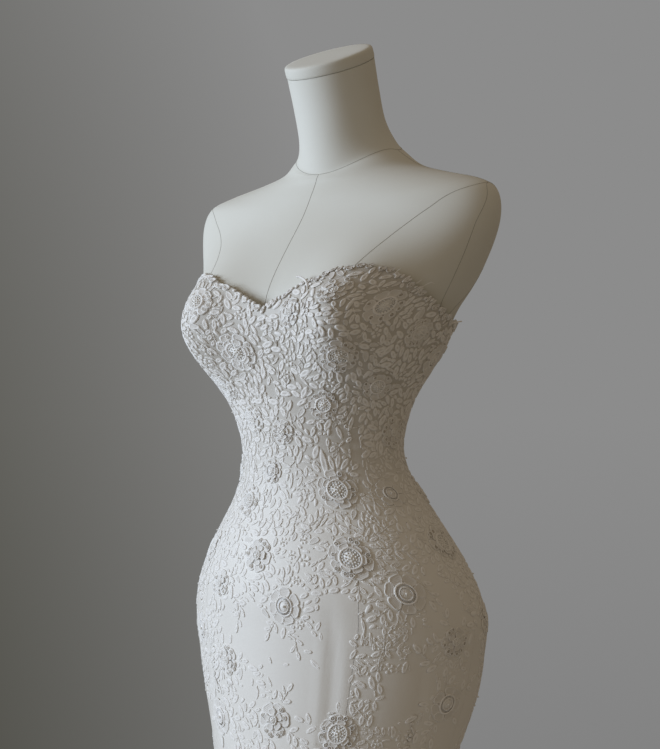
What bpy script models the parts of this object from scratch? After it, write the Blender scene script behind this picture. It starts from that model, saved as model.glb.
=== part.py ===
"""Strapless mermaid wedding dress on a limbless dress form with a neck cap, pole and round base.

Metres, +Z up, the front faces -Y and the wearer's left side is +X. The origin is on the floor, under the
middle of the hem. Angles run round the body in degrees: 0 centre front, 90 left side, 180 centre back.
Every size in a table is in millimetres.
"""

import math

import bmesh
import bpy
import numpy as np
from mathutils import Vector
from mathutils.geometry import delaunay_2d_cdt

MM = 0.001

# Driving sizes of the dress.
CLOTH_THICKNESS = 2.0 * MM  # lining, satin and net worn as one wall
FLARE_THICKNESS = 1.6 * MM
CLOTH_CLEARANCE = 3.4 * MM  # cloth to dress form
WAIST_CLEARANCE = 1.9 * MM  # the dress grips the form here
WAIST_HEIGHT = 1080 * MM
WAIST_GRIP = 34 * MM  # height over which the clearance narrows
SEAM_GAP = 0.3 * MM
KNEE_HEIGHT = 560 * MM  # seam between the fitted panels and the flare
HEM_HEIGHT = 8 * MM
NOTCH_STAND_OFF = 9 * MM  # the boned edge bridges the hollow between the cups
NOTCH_SPREAD = 15.0
FLUTES = 14  # soft folds round the flare
SCALLOP_PITCH = 10.0  # degrees, lace scallops along the top edge
SCALLOP_RISE = 4 * MM

# Driving sizes of the dress form and its stand.
FORM_BOTTOM = 780 * MM
YOKE_START = 1325 * MM
CAP_THICKNESS = 14 * MM
POLE_RADIUS = 16 * MM
BASE_RADIUS = 165 * MM
BASE_THICKNESS = 12 * MM
COLLAR_RADIUS = 27 * MM
COLLAR_HEIGHT = 34 * MM

# How the cloth is divided into triangles.
BUST_FOOT = 1150 * MM  # finer above this height
FOOT_SPACING = 20 * MM
DEGREE = 2.4 * MM  # one degree round, in the flat plane of the triangles

# Lace.
ROSE_RISE = 2.2 * MM
LEAF_RISE = 1.6 * MM
LEAVES_PER_ROSE = 2


def table(columns, rows):
    """A table of millimetre rows as a dictionary of metre columns."""
    return {name: np.array(values, float) * MM for name, values in zip(columns, zip(*rows))}


# Level sections of the body the dress is cut for, from the armhole down to the hem.
SECTIONS = table(
    ("height", "half_width", "side_y", "front_y", "back_y", "flute"),
    [
        (1325, 211, 18, -66, 106, 0),
        (1300, 200, 13, -86, 110, 0),
        (1270, 183, 8, -106, 110, 0),
        (1240, 160, 1, -117, 106, 0),
        (1205, 143, -7, -116, 99, 0),
        (1170, 126, -17, -111, 84, 0),
        (1140, 110, -25, -106, 67, 0),
        (1110, 101, -27, -102, 56, 0),
        (1080, 97, -24, -98, 51, 0),
        (1050, 101, -18, -95, 60, 0),
        (1020, 117, -12, -97, 78, 0),
        (985, 140, -7, -108, 94, 0),
        (950, 162, -2, -116, 110, 0),
        (915, 177, 2, -120, 124, 0),
        (880, 183, 6, -119, 131, 0),
        (845, 178, 7, -118, 134, 0),
        (800, 169, 7, -117, 132, 0),
        (760, 157, 3, -116, 121, 0),
        (720, 145, -3, -116, 109, 0),
        (650, 133, -3, -114, 104, 0),
        (590, 127, -3, -112, 103, 0),
        (540, 128, -2, -114, 107, 1),
        (500, 134, -1, -121, 116, 3),
        (440, 153, 0, -141, 138, 7),
        (370, 186, 0, -175, 173, 12),
        (290, 235, 0, -226, 225, 18),
        (200, 300, 0, -292, 292, 25),
        (100, 377, 0, -371, 371, 31),
        (8, 450, 0, -446, 446, 36),
    ],
)

# Rings of the dress form above the armholes, from the armhole up over the shoulder to the neck cap.
YOKE = table(
    ("side_x", "side_y", "side_z", "front_y", "front_z", "back_y", "back_z"),
    [
        (211, 18, 1325, -66, 1325, 106, 1325),
        (215, 19, 1350, -55, 1343, 103, 1352),
        (204, 24, 1373, -47, 1359, 98, 1373),
        (176, 36, 1386, -42, 1371, 93, 1389),
        (130, 41, 1397, -36, 1384, 88, 1407),
        (94, 40, 1407, -34, 1391, 87, 1420),
        (75, 32, 1419, -32, 1395, 84, 1437),
        (61, 24, 1433, -30, 1400, 78, 1450),
        (53, 14, 1456, -34, 1424, 61, 1477),
        (52, 3, 1490, -44, 1463, 49, 1513),
        (52, -8, 1524, -57, 1503, 41, 1545),
    ],
)

# The bust under the cups: one mound on each side of the centre front.
BUST = {
    "apart": 92 * MM,
    "height": 1216 * MM,
    "above": 66 * MM,
    "below": 61 * MM,
    "inward": 47 * MM,
    "outward": 50 * MM,
    "depth": 46 * MM,
    "splay": 0.30,
}

# Top edge of the dress: a sweetheart over the cups, level across the back.
NECKLINE = {
    "angle": np.array([0, 6, 12, 20, 30, 38, 48, 62, 80, 100, 130, 180], float),
    "height": np.array([1235, 1243, 1254, 1266, 1278, 1278, 1272, 1255, 1236, 1222, 1218, 1220]) * MM,
}

# Where the princess, side and back seams run.
SEAMS = {
    "height": np.array([1300, 1235, 1160, 1080, 1000, 930, 860, 560, 8], float) * MM,
    "front": np.array([45, 43, 46, 51, 44, 38, 35, 33, 30], float),
    "side": np.array([94, 94, 94, 94, 94, 93, 92, 92, 92], float),
    "back": np.array([140, 140, 139, 137, 139, 141, 141, 140, 138], float),
}

# Large lace roses. Those at the front follow no symmetry, and the others are sewn on both sides alike.
# Columns: angle round the body in degrees, height in millimetres, diameter in millimetres.
FRONT_ROSES = [
    (55, 1236, 42),
    (32, 1253, 34),
    (14, 1230, 30),
    (42, 1180, 40),
    (33, 1128, 30),
    (-15, 1188, 40),
    (-27, 1247, 34),
    (-47, 1218, 40),
    (-38, 1150, 32),
    (4, 1098, 25),
    (-20, 1112, 28),
    (-7, 1054, 25),
    (37, 1034, 40),
    (-24, 1020, 32),
    (-58, 1056, 30),
    (37, 960, 44),
    (57, 922, 40),
    (8, 905, 36),
    (-6, 960, 34),
    (-26, 925, 28),
    (-47, 965, 36),
    (-42, 868, 34),
    (-12, 842, 30),
    (31, 768, 38),
    (4, 752, 36),
    (-31, 770, 36),
    (16, 662, 34),
    (-18, 642, 34),
    (46, 690, 34),
    (-48, 680, 34),
]
SIDE_ROSES = [
    (78, 1208, 32),
    (67, 1148, 30),
    (72, 1030, 30),
    (90, 1098, 32),
    (104, 1180, 36),
    (93, 975, 38),
    (78, 868, 30),
    (79, 798, 36),
    (108, 890, 36),
    (76, 640, 34),
    (103, 720, 34),
    (118, 1032, 34),
]
BACK_ROSES = [
    (130, 1190, 36),
    (158, 1194, 34),
    (140, 1105, 30),
    (160, 1040, 34),
    (142, 970, 38),
    (166, 952, 32),
    (130, 830, 36),
    (156, 862, 38),
    (146, 738, 36),
    (168, 700, 32),
    (128, 640, 34),
    (158, 618, 34),
]


def curve(heights, values, height):
    """A smooth curve through a table of values, read at any heights between its ends."""
    order = np.argsort(heights)
    x, y = heights[order], values[order]
    step = np.diff(x)
    slope = np.diff(y) / step
    inner = (slope[:-1] * step[1:] + slope[1:] * step[:-1]) / (step[1:] + step[:-1])
    tangent = np.concatenate([slope[:1], inner, slope[-1:]])
    i = np.clip(np.searchsorted(x, height) - 1, 0, len(x) - 2)
    t = np.clip((height - x[i]) / step[i], 0, 1)
    rise = t * t * (3 - 2 * t)
    start, end = t * (t - 1) ** 2, t * t * (t - 1)
    return y[i] + (y[i + 1] - y[i]) * rise + step[i] * (tangent[i] * start + tangent[i + 1] * end)


def smooth(value):
    """0 below 0, 1 above 1, and a soft step between."""
    t = np.clip(value, 0, 1)
    return t * t * (3 - 2 * t)


def bust(x, z):
    """How far the bust stands forward of the level section."""
    across = np.abs(x) - BUST["apart"]
    up = z - BUST["height"]
    wide = np.where(across > 0, BUST["outward"], BUST["inward"])
    tall = np.where(up > 0, BUST["above"], BUST["below"])
    return BUST["depth"] * np.exp(-((across / wide) ** 2) - np.abs(up / tall) ** 2.2)


def body(angle, height, out):
    """Points on the body at these angles and heights, moved out by a distance."""
    angle, height, out = np.broadcast_arrays(np.radians(angle), height, out)
    half_width, side_y, front_y, back_y, flute = (
        curve(SECTIONS["height"], SECTIONS[name], height)
        for name in ("half_width", "side_y", "front_y", "back_y", "flute")
    )
    wave = flute * (0.8 * np.cos(FLUTES * angle) + 0.2 * np.cos(6 * angle))
    out = out + wave
    sine, cosine = np.sin(angle), np.cos(angle)
    x = (half_width + out) * sine
    depth = np.where(cosine > 0, front_y - out - side_y, back_y + out - side_y)
    y = side_y + depth * np.abs(cosine)
    forward = bust(x, height) * smooth((cosine + 0.25) / 0.6)
    x = x + np.sign(x) * forward * BUST["splay"]
    return np.stack([x, y - forward, height], -1)


def cloth_clearance(angle, height):
    """Cloth to dress form: close at the waist, and wider where the boned edge bridges the cups."""
    grip = np.exp(-(((height - WAIST_HEIGHT) / WAIST_GRIP) ** 2))
    notch = np.exp(-((angle / NOTCH_SPREAD) ** 2)) * smooth((height - 1.165) / 0.06)
    near = CLOTH_CLEARANCE + (WAIST_CLEARANCE - CLOTH_CLEARANCE) * grip
    return near + NOTCH_STAND_OFF * notch


def cloth(angle, height, out):
    """Points of the dress, a distance out from the inner face of its cloth."""
    angle, height = np.broadcast_arrays(np.asarray(angle, float), np.asarray(height, float))
    return body(angle, height, cloth_clearance(angle, height) + out)


def neckline(angle):
    """Height of the top edge, with the small scallops of the lace."""
    turn = np.abs(np.asarray(angle, float))
    edge = curve(NECKLINE["angle"], NECKLINE["height"], turn)
    scallop = np.abs(np.sin(np.pi * turn / SCALLOP_PITCH)) ** 0.7
    return edge + SCALLOP_RISE * scallop


def seam(name, height):
    """Angle of a seam at these heights."""
    return curve(SEAMS["height"], SEAMS[name], height)


def sewn_roses():
    """Every large rose: angle, height and radius."""
    rows = list(FRONT_ROSES)
    for angle, height, diameter in SIDE_ROSES + BACK_ROSES:
        rows += [(angle, height, diameter), (-angle, height, diameter)]
    return [(float(angle), height * MM, diameter * MM / 2) for angle, height, diameter in rows]


def scale_at(angle, height):
    """Metres of cloth to one degree round and to one metre of height."""
    near = cloth([angle - 1, angle + 1, angle, angle], [height, height, height - MM, height + MM], 0)
    return np.linalg.norm(near[1] - near[0]) / 2, np.linalg.norm(near[3] - near[2]) / (2 * MM)


class Motif:
    """One piece of lace, drawn flat round its own centre and laid on the cloth."""

    def __init__(self, angle, height, turn, size):
        self.angle, self.height, self.turn, self.size = angle, height, turn, size
        self.per_degree, self.per_metre = scale_at(angle, height)

    def place(self, flat):
        """Angles and heights of flat points, given in metres from the centre."""
        c, s = math.cos(self.turn), math.sin(self.turn)
        flat = np.asarray(flat, float)
        across = flat[:, 0] * c - flat[:, 1] * s
        up = flat[:, 0] * s + flat[:, 1] * c
        return np.stack([self.angle + across / self.per_degree, self.height + up / self.per_metre], -1)

    def flat(self, spots):
        """The reverse of place."""
        round_by = (spots[:, 0] - self.angle + 180) % 360 - 180
        across = round_by * self.per_degree
        up = (spots[:, 1] - self.height) * self.per_metre
        c, s = math.cos(self.turn), math.sin(self.turn)
        return across * c + up * s, up * c - across * s


class Rose(Motif):
    """A raised centre, a hollow round it, and a scalloped ring of petals."""

    petals = 5
    rings = ((0.36, 5), (0.80, 9), (1.0, 10))

    def edge(self, turn):
        return self.size * (1 - 0.09 * np.cos(self.petals * turn))

    def points(self):
        flat = [(0.0, 0.0)]
        for share, count in self.rings:
            for k in range(count):
                turn = math.tau * (k + 0.25) / count
                radius = share * float(self.edge(turn))
                flat.append((radius * math.cos(turn), radius * math.sin(turn)))
        return self.place(flat)

    def rise(self, spots):
        x, y = self.flat(spots)
        share = np.hypot(x, y) / self.edge(np.arctan2(y, x))
        return np.interp(share, (0, 0.36, 0.80, 1.0), (1.2, 0.5, 1.0, 0.0)) * ROSE_RISE


class Leaf(Motif):
    """A pointed leaf with a ridge along its middle."""

    width = 0.42
    outline = ((0.0, 0.0), (0.3, 0.9), (0.65, 0.9), (1.0, 0.0), (0.65, -0.9), (0.3, -0.9))
    ridge = ((0.3, 0.0), (0.65, 0.0))

    def points(self):
        half = self.size * self.width / 2
        return self.place([(self.size * t, half * w) for t, w in self.outline + self.ridge])

    def rise(self, spots):
        x, y = self.flat(spots)
        t = np.clip(x / self.size, 0, 1)
        half = self.size * self.width / 2 * np.sqrt(np.clip(4 * t * (1 - t), 1e-6, 1))
        return np.clip(1 - np.abs(y) / half, 0, 1) * (x > 0) * (x < self.size) * LEAF_RISE


def lace():
    """The roses, and the leaves that spring from them where no other rose lies."""
    roses = [Rose(a, h, k * 0.7, r) for k, (a, h, r) in enumerate(sewn_roses())]
    leaves = []
    for k, rose in enumerate(roses):
        for n in range(LEAVES_PER_ROSE):
            turn = 2.4 * k + math.tau * n / LEAVES_PER_ROSE
            reach = rose.size * 1.02
            across, up = math.cos(turn - rose.turn), math.sin(turn - rose.turn)
            root, tip = rose.place([(r * across, r * up) for r in (reach, 2.3 * reach)])
            clear = all(np.hypot(*other.flat(tip[None])) > other.size for other in roses if other is not rose)
            if clear and tip[1] < float(neckline(tip[0])):
                leaves.append(Leaf(root[0], root[1], turn, 1.25 * reach))
    return roses + leaves


def relief(motifs, spots):
    """How far the lace raises the cloth at each spot, given as angle and height."""
    raised = np.zeros(len(spots))
    for motif in motifs:
        raised = np.maximum(raised, motif.rise(spots))
    return raised


def grid_spacing(height):
    """Cloth is divided more finely over the bust."""
    return 21 * MM if height > BUST_FOOT else 32 * MM


def plane(spots):
    """Angles and heights as points of the flat plane in which a panel is divided into triangles."""
    return np.stack([spots[:, 0] * DEGREE, spots[:, 1]], -1)


def seam_top(line):
    """Height at which a seam meets the top edge."""
    top = BUST_FOOT
    for _ in range(12):
        top = float(neckline(line(top)))
    return top


def seam_edge(line, bottom, inward):
    """Spots up a seam, half the seam gap in from its line."""
    top = seam_top(line)
    low = np.linspace(bottom, BUST_FOOT, 1 + round((BUST_FOOT - bottom) / grid_spacing(bottom)))
    high = np.linspace(BUST_FOOT, top, 1 + round((top - BUST_FOOT) / grid_spacing(top)))
    heights = np.concatenate([low[:-1], high])
    per_degree = np.array([scale_at(line(h), h)[0] for h in heights])
    return np.stack([line(heights) + inward * SEAM_GAP / 2 / per_degree, heights], -1)


def panel_edge(left, right, bottom):
    """Spots round a panel, anticlockwise seen from outside. left and right give an angle at a height."""
    low, high = seam_edge(left, bottom, 1), seam_edge(right, bottom, -1)
    span = high[-1, 0] - low[-1, 0]
    top = np.linspace(high[-1, 0], low[-1, 0], 1 + max(3, round(span * 3 / SCALLOP_PITCH)))[1:-1]
    foot_span = high[0, 0] - low[0, 0]
    count = 1 + max(3, round(foot_span * DEGREE / FOOT_SPACING))
    foot = np.linspace(low[0, 0], high[0, 0], count)[1:-1]
    return np.concatenate(
        [
            low[:1],
            np.stack([foot, np.full(len(foot), bottom)], -1),
            high,
            np.stack([top, neckline(top)], -1),
            low[:0:-1],
        ]
    )


def inside(polygon, spots, margin):
    """Which spots lie inside the polygon and at least the margin from its edge, all in the plane."""
    keep = np.zeros(len(spots), bool)
    near = np.full(len(spots), np.inf)
    for a, b in zip(polygon, np.roll(polygon, -1, 0)):
        crosses = (a[1] > spots[:, 1]) != (b[1] > spots[:, 1])
        if a[1] != b[1]:
            at = a[0] + (spots[:, 1] - a[1]) * (b[0] - a[0]) / (b[1] - a[1])
            keep ^= crosses & (spots[:, 0] < at)
        along = b - a
        t = np.clip((spots - a) @ along / max(along @ along, 1e-12), 0, 1)
        near = np.minimum(near, np.linalg.norm(spots - a - t[:, None] * along, axis=1))
    return keep & (near > margin)


def thinned(spots, taken, apart):
    """Spots in order, leaving out any that lies too near one taken already."""
    kept = list(taken)
    fresh = []
    for spot in spots:
        if not kept or np.min(np.linalg.norm(np.array(kept) - spot, axis=1)) > apart:
            kept.append(spot)
            fresh.append(spot)
    return np.array(fresh).reshape(-1, 2)


def divided(edge, inner):
    """Triangles inside an edge through inner points: their points, and which of them is which edge point."""
    spots = np.concatenate([edge, inner])
    ring = list(range(len(edge)))
    verts, _, faces, origins, _, _ = delaunay_2d_cdt(
        [Vector(p) for p in spots.tolist()], [], [ring], 1, 1e-6
    )
    where = {source: k for k, sources in enumerate(origins) for source in sources}
    order = [where[k] for k in ring]
    return np.array([v[:] for v in verts]), [tuple(f) for f in faces], order


def wall(outer, inner):
    """One closed wall from two divided faces. Each is (points in space, faces, order of its edge points)."""
    outer_points, outer_faces, outer_edge = outer
    inner_points, inner_faces, inner_edge = inner
    shift = len(outer_points)
    faces = list(outer_faces) + [tuple(shift + k for k in reversed(f)) for f in inner_faces]
    count = len(outer_edge)
    for k in range(count):
        n = (k + 1) % count
        faces.append((outer_edge[n], outer_edge[k], shift + inner_edge[k], shift + inner_edge[n]))
    return np.concatenate([outer_points, inner_points]), faces


def fitted_panel(left, right, motifs):
    """A princess panel from the top edge to the knee, with the lace raised on its outside."""
    edge_spots = panel_edge(left, right, KNEE_HEIGHT + SEAM_GAP / 2)
    edge = plane(edge_spots)
    low, high = edge.min(0), edge.max(0)
    grid = []
    height = low[1]
    while height < high[1]:
        step = grid_spacing(height)
        height += step
        across = max(2, math.ceil((high[0] - low[0]) / step))
        grid += [(x, height) for x in np.linspace(low[0], high[0], across + 1)]
    grid = np.array(grid)
    grid = grid[inside(edge, grid, 9 * MM)]
    drawn = np.concatenate([plane(m.points()) for m in motifs])
    drawn = np.concatenate([drawn + (turn * DEGREE, 0) for turn in (0, 360, -360)])
    drawn = drawn[inside(edge, drawn, 2.2 * MM)]
    drawn = thinned(drawn, [], 2.4 * MM)
    between = thinned(grid, drawn, 8 * MM)
    faces = []
    for inner, raised in ((np.concatenate([drawn, between]), True), (grid, False)):
        points, triangles, order = divided(edge, inner)
        spots = points / (DEGREE, 1)
        out = CLOTH_THICKNESS + relief(motifs, spots) if raised else 0.0
        faces.append((cloth(spots[:, 0], spots[:, 1], out), triangles, order))
    return wall(*faces)


def flare_panel(left, right, columns):
    """A flared gore from the knee to the hem, in soft flutes that deepen downwards."""
    top = KNEE_HEIGHT - SEAM_GAP / 2
    heights = np.array([top, 0.50, 0.44, 0.38, 0.31, 0.24, 0.165, 0.085, HEM_HEIGHT])
    share = np.linspace(0, 1, columns + 1)
    gap = np.array([SEAM_GAP / 2 / scale_at(left(h), h)[0] for h in heights])
    first, last = left(heights) + gap, right(heights) - gap
    angles = first[:, None] + share * (last - first)[:, None]
    tall = np.broadcast_to(heights[:, None], angles.shape)
    rows, across = angles.shape
    index = np.arange(rows * across).reshape(rows, across)
    quads = [
        (index[r + 1, c], index[r + 1, c + 1], index[r, c + 1], index[r, c])
        for r in range(rows - 1)
        for c in range(across - 1)
    ]
    edge = [*index[-1, :-1], *index[:0:-1, -1], *index[0, :0:-1], *index[:-1, 0]]
    outer, inner = (cloth(angles, tall, out).reshape(-1, 3) for out in (FLARE_THICKNESS, 0.0))
    return wall((outer, quads, edge), (inner, quads, edge))


def lofted(rings):
    """A closed skin through rings of points, each ring anticlockwise from above, from the bottom up."""
    count = len(rings[0])
    points = np.concatenate(rings)
    faces = [tuple(range(count))[::-1], tuple(range(len(points) - count, len(points)))]
    for r in range(len(rings) - 1):
        for k in range(count):
            n = (k + 1) % count
            faces.append((r * count + k, r * count + n, (r + 1) * count + n, (r + 1) * count + k))
    return points, faces


FORM_SIDES = 36


def form_angles():
    """Angles round the form, anticlockwise from above."""
    return np.linspace(0, 360, FORM_SIDES, endpoint=False)


def yoke_ring(row, out=0.0):
    """One ring of the shoulders or neck. It dips at the front and back, and the last one lies in a plane."""
    turn = np.radians(form_angles())
    sine, cosine = np.sin(turn), np.cos(turn)
    at = {name: values[row] for name, values in YOKE.items()}
    dip = 1 + min(1, (len(YOKE["side_x"]) - 1 - row % len(YOKE["side_x"])) / 3)
    end_y = np.where(cosine > 0, at["front_y"] - out, at["back_y"] + out)
    end_z = np.where(cosine > 0, at["front_z"], at["back_z"])
    y = at["side_y"] + (end_y - at["side_y"]) * np.abs(cosine)
    z = at["side_z"] + (end_z - at["side_z"]) * np.abs(cosine) ** dip
    return np.stack([(at["side_x"] + out) * sine, y, z], -1)


def form_body():
    """Torso, shoulders and neck, closed flat at the hips and under the neck cap."""
    below = np.linspace(FORM_BOTTOM, WAIST_HEIGHT, 10)
    above = np.linspace(WAIST_HEIGHT, YOKE_START, 12)
    heights = np.concatenate([below, above[1:]])
    rings = [body(form_angles(), h, 0.0) for h in heights]
    rings += [yoke_ring(row) for row in range(1, len(YOKE["side_x"]))]
    return lofted(rings)


def neck_cap():
    """The cap on the neck, its lower face parallel to the neck's cut end."""
    ring = yoke_ring(-1)
    up = ring[0] - ring[FORM_SIDES // 2]
    tilt = Vector((0, -up[2], up[1]))
    normal = np.array(tilt.normalized() * (1 if tilt.z > 0 else -1))
    centre = ring.mean(0)

    def at(lift, scale):
        return centre + (ring - centre) * scale + normal * lift

    bevel = 1.5 * MM
    low = [at(SEAM_GAP, 0.985), at(SEAM_GAP + bevel, 1.0)]
    high = [at(CAP_THICKNESS - bevel, 1.0), at(CAP_THICKNESS, 0.97), at(CAP_THICKNESS + bevel, 0.80)]
    return lofted(low + high)


def turned(profile, sides=32):
    """A round solid from a profile of (radius, height), from the bottom up."""
    turn = np.linspace(0, math.tau, sides, endpoint=False)
    return lofted([np.stack([r * np.cos(turn), r * np.sin(turn), np.full(sides, z)], -1) for r, z in profile])


def add(name, shape, material):
    """An object from points and faces."""
    points, faces = shape
    mesh = bpy.data.meshes.new(name)
    mesh.from_pydata(points.tolist(), [], [tuple(int(k) for k in f) for f in faces])
    mesh.validate()
    mesh.shade_smooth()
    mesh.set_sharp_from_angle(angle=math.radians(50))
    mesh.materials.append(material)
    obj = bpy.data.objects.new(name, mesh)
    bpy.context.scene.collection.objects.link(obj)


def box(name, low, high, location):
    """A box between two corners, given from its own origin."""
    bm = bmesh.new()
    bmesh.ops.create_cube(bm, size=1.0)
    low, high = Vector(low), Vector(high)
    for vert in bm.verts:
        vert.co = Vector([l + (h - l) * (c + 0.5) for l, h, c in zip(low, high, vert.co)])
    mesh = bpy.data.meshes.new(name)
    bm.to_mesh(mesh)
    bm.free()
    obj = bpy.data.objects.new(name, mesh)
    obj.location = location
    bpy.context.scene.collection.objects.link(obj)
    return obj


def combine(obj, tool, operation):
    """Joins or cuts with a hidden tool object."""
    tool.hide_render = True
    tool.display_type = "WIRE"
    modifier = obj.modifiers.new(operation.title(), "BOOLEAN")
    modifier.operation = operation
    modifier.object = tool


def material(name, colour, roughness, metallic=0.0):
    """A plain Principled surface."""
    made = bpy.data.materials.new(name)
    made.use_nodes = True
    shader = made.node_tree.nodes["Principled BSDF"]
    shader.inputs["Base Color"].default_value = (*colour, 1)
    shader.inputs["Roughness"].default_value = roughness
    shader.inputs["Metallic"].default_value = metallic
    return made


def build_dress():
    """Seven fitted panels, and seven flared gores below them, each between two seams."""
    lace_cloth = material("ivory_lace_over_satin", (0.80, 0.78, 0.74), 0.75)
    flare_cloth = material("ivory_net_over_satin", (0.82, 0.80, 0.76), 0.6)
    motifs = lace()
    lines = {
        "front": lambda h: seam("front", h),
        "side": lambda h: seam("side", h),
        "back": lambda h: seam("back", h),
        "centre": lambda h: np.asarray(h, float) * 0 + 180.0,
    }

    def mirrored(line):
        return lambda h: -line(h)

    panels = {"front_centre": (mirrored(lines["front"]), lines["front"], 12)}
    rest = (
        ("side_front", "front", "side", 13),
        ("side_back", "side", "back", 9),
        ("back", "back", "centre", 8),
    )
    for name, near, far, columns in rest:
        panels[name + "_left"] = (lines[near], lines[far], columns)
        panels[name + "_right"] = (mirrored(lines[far]), mirrored(lines[near]), columns)
    for name, (left, right, columns) in panels.items():
        add("panel_" + name, fitted_panel(left, right, motifs), lace_cloth)
        add("flare_" + name, flare_panel(left, right, columns), flare_cloth)


def build_form():
    """The dress form, its neck cap, and the stand that carries it."""
    linen = material("ivory_linen", (0.70, 0.69, 0.65), 0.85)
    steel = material("painted_steel", (0.75, 0.74, 0.72), 0.35, 0.4)
    add("form_body", form_body(), linen)
    add("form_neck_cap", neck_cap(), linen)
    bevel = 3 * MM
    base = [
        (BASE_RADIUS - 1 * MM, 0.0),
        (BASE_RADIUS, 1 * MM),
        (BASE_RADIUS, BASE_THICKNESS - bevel),
        (BASE_RADIUS - bevel, BASE_THICKNESS),
        (COLLAR_RADIUS, BASE_THICKNESS),
        (COLLAR_RADIUS, COLLAR_HEIGHT - bevel),
        (COLLAR_RADIUS - bevel, COLLAR_HEIGHT),
    ]
    add("stand_base", turned(base), steel)
    pole = [(POLE_RADIUS, COLLAR_HEIGHT + SEAM_GAP), (POLE_RADIUS, FORM_BOTTOM - SEAM_GAP)]
    add("stand_pole", turned(pole, 24), steel)


# The concealed zip closes the centre back. Only its slider and pull tab show.
ZIP_HEIGHT = 1203 * MM
SLIDER_HALF_WIDTH = 2.6 * MM
SLIDER_HALF_HEIGHT = 5.0 * MM
SLIDER_THICKNESS = 2.0 * MM
BRIDGE_HALF_WIDTH = 0.7 * MM
BRIDGE_HALF_HEIGHT = 3.8 * MM
BRIDGE_STANDS = 3.4 * MM
BRIDGE_BAR = 1.0 * MM
PIVOT_OFF_SLIDER = 1.2 * MM
EYE_BAR = 1.2 * MM
TAB_LENGTH = 22 * MM


def build_zip():
    """A slider with a bridge, and a pull tab whose eye hangs in the bridge and turns about X."""
    nickel = material("nickel", (0.72, 0.70, 0.66), 0.3, 1.0)
    heights = np.linspace(ZIP_HEIGHT - SLIDER_HALF_HEIGHT, ZIP_HEIGHT + SLIDER_HALF_HEIGHT, 5)
    face = max(cloth(180.0, h, CLOTH_THICKNESS)[1] for h in heights) + SEAM_GAP
    place = (0, float(face), ZIP_HEIGHT)
    slider = box(
        "zip_slider",
        (-SLIDER_HALF_WIDTH, 0, -SLIDER_HALF_HEIGHT),
        (SLIDER_HALF_WIDTH, SLIDER_THICKNESS, SLIDER_HALF_HEIGHT),
        place,
    )
    stands = SLIDER_THICKNESS + BRIDGE_STANDS
    bridge = box(
        "bridge_block",
        (-BRIDGE_HALF_WIDTH, SLIDER_THICKNESS / 2, -BRIDGE_HALF_HEIGHT),
        (BRIDGE_HALF_WIDTH, stands, BRIDGE_HALF_HEIGHT),
        place,
    )
    window = box(
        "bridge_window",
        (-SLIDER_HALF_WIDTH, SLIDER_THICKNESS, BRIDGE_BAR - BRIDGE_HALF_HEIGHT),
        (SLIDER_HALF_WIDTH, stands - BRIDGE_BAR, BRIDGE_HALF_HEIGHT - BRIDGE_BAR),
        place,
    )
    combine(slider, bridge, "UNION")
    combine(slider, window, "DIFFERENCE")
    slider.data.materials.append(nickel)

    # The tab's outline, from its eye down to its round end, with its origin on the pivot.
    pivot = (0, float(face) + SLIDER_THICKNESS + PIVOT_OFF_SLIDER, ZIP_HEIGHT)
    half = EYE_BAR / 2
    wide, round_end = 2.4 * MM, 3.2 * MM
    outline = [(-wide, half), (-wide, -6 * MM)]
    outline += [
        (-round_end * math.cos(t), -(TAB_LENGTH - round_end) - round_end * math.sin(t))
        for t in np.linspace(0, math.pi, 13)
    ]
    outline += [(wide, -6 * MM), (wide, half)]
    curve_data = bpy.data.curves.new("zip_pull", "CURVE")
    curve_data.dimensions = "2D"
    curve_data.fill_mode = "BOTH"
    curve_data.extrude = half
    eye = BRIDGE_HALF_WIDTH + 0.5 * MM
    hole = [(-eye, -half), (eye, -half), (eye, -5 * MM), (-eye, -5 * MM)]
    for loop in (outline, hole):
        spline = curve_data.splines.new("POLY")
        spline.points.add(len(loop) - 1)
        for point, (x, y) in zip(spline.points, loop):
            point.co = (x, y, 0, 1)
        spline.use_cyclic_u = True
    pull = bpy.data.objects.new("zip_pull", curve_data)
    pull.location = pivot
    pull.rotation_euler = (math.pi / 2, 0, 0)
    curve_data.materials.append(nickel)
    bpy.context.scene.collection.objects.link(pull)


def main():
    for obj in list(bpy.data.objects):
        bpy.data.objects.remove(obj)
    build_dress()
    build_form()
    build_zip()


main()
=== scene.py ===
import math

import bpy
import numpy as np
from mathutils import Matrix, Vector


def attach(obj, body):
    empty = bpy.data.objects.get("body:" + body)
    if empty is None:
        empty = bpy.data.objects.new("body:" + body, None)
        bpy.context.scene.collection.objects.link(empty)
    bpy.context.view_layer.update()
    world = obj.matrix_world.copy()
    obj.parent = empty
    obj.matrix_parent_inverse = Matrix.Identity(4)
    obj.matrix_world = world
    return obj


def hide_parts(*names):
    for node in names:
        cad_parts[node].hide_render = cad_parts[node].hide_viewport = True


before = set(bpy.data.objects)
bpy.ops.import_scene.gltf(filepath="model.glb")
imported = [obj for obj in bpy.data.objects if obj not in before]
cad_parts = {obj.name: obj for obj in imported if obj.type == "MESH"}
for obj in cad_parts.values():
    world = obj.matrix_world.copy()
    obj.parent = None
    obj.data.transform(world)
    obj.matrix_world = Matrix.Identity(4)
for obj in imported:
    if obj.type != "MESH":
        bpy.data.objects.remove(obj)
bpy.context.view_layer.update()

print("frame loaded:", len(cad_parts), "nodes")

mm = 0.001
dressBody = "gown_on_form"

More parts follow.
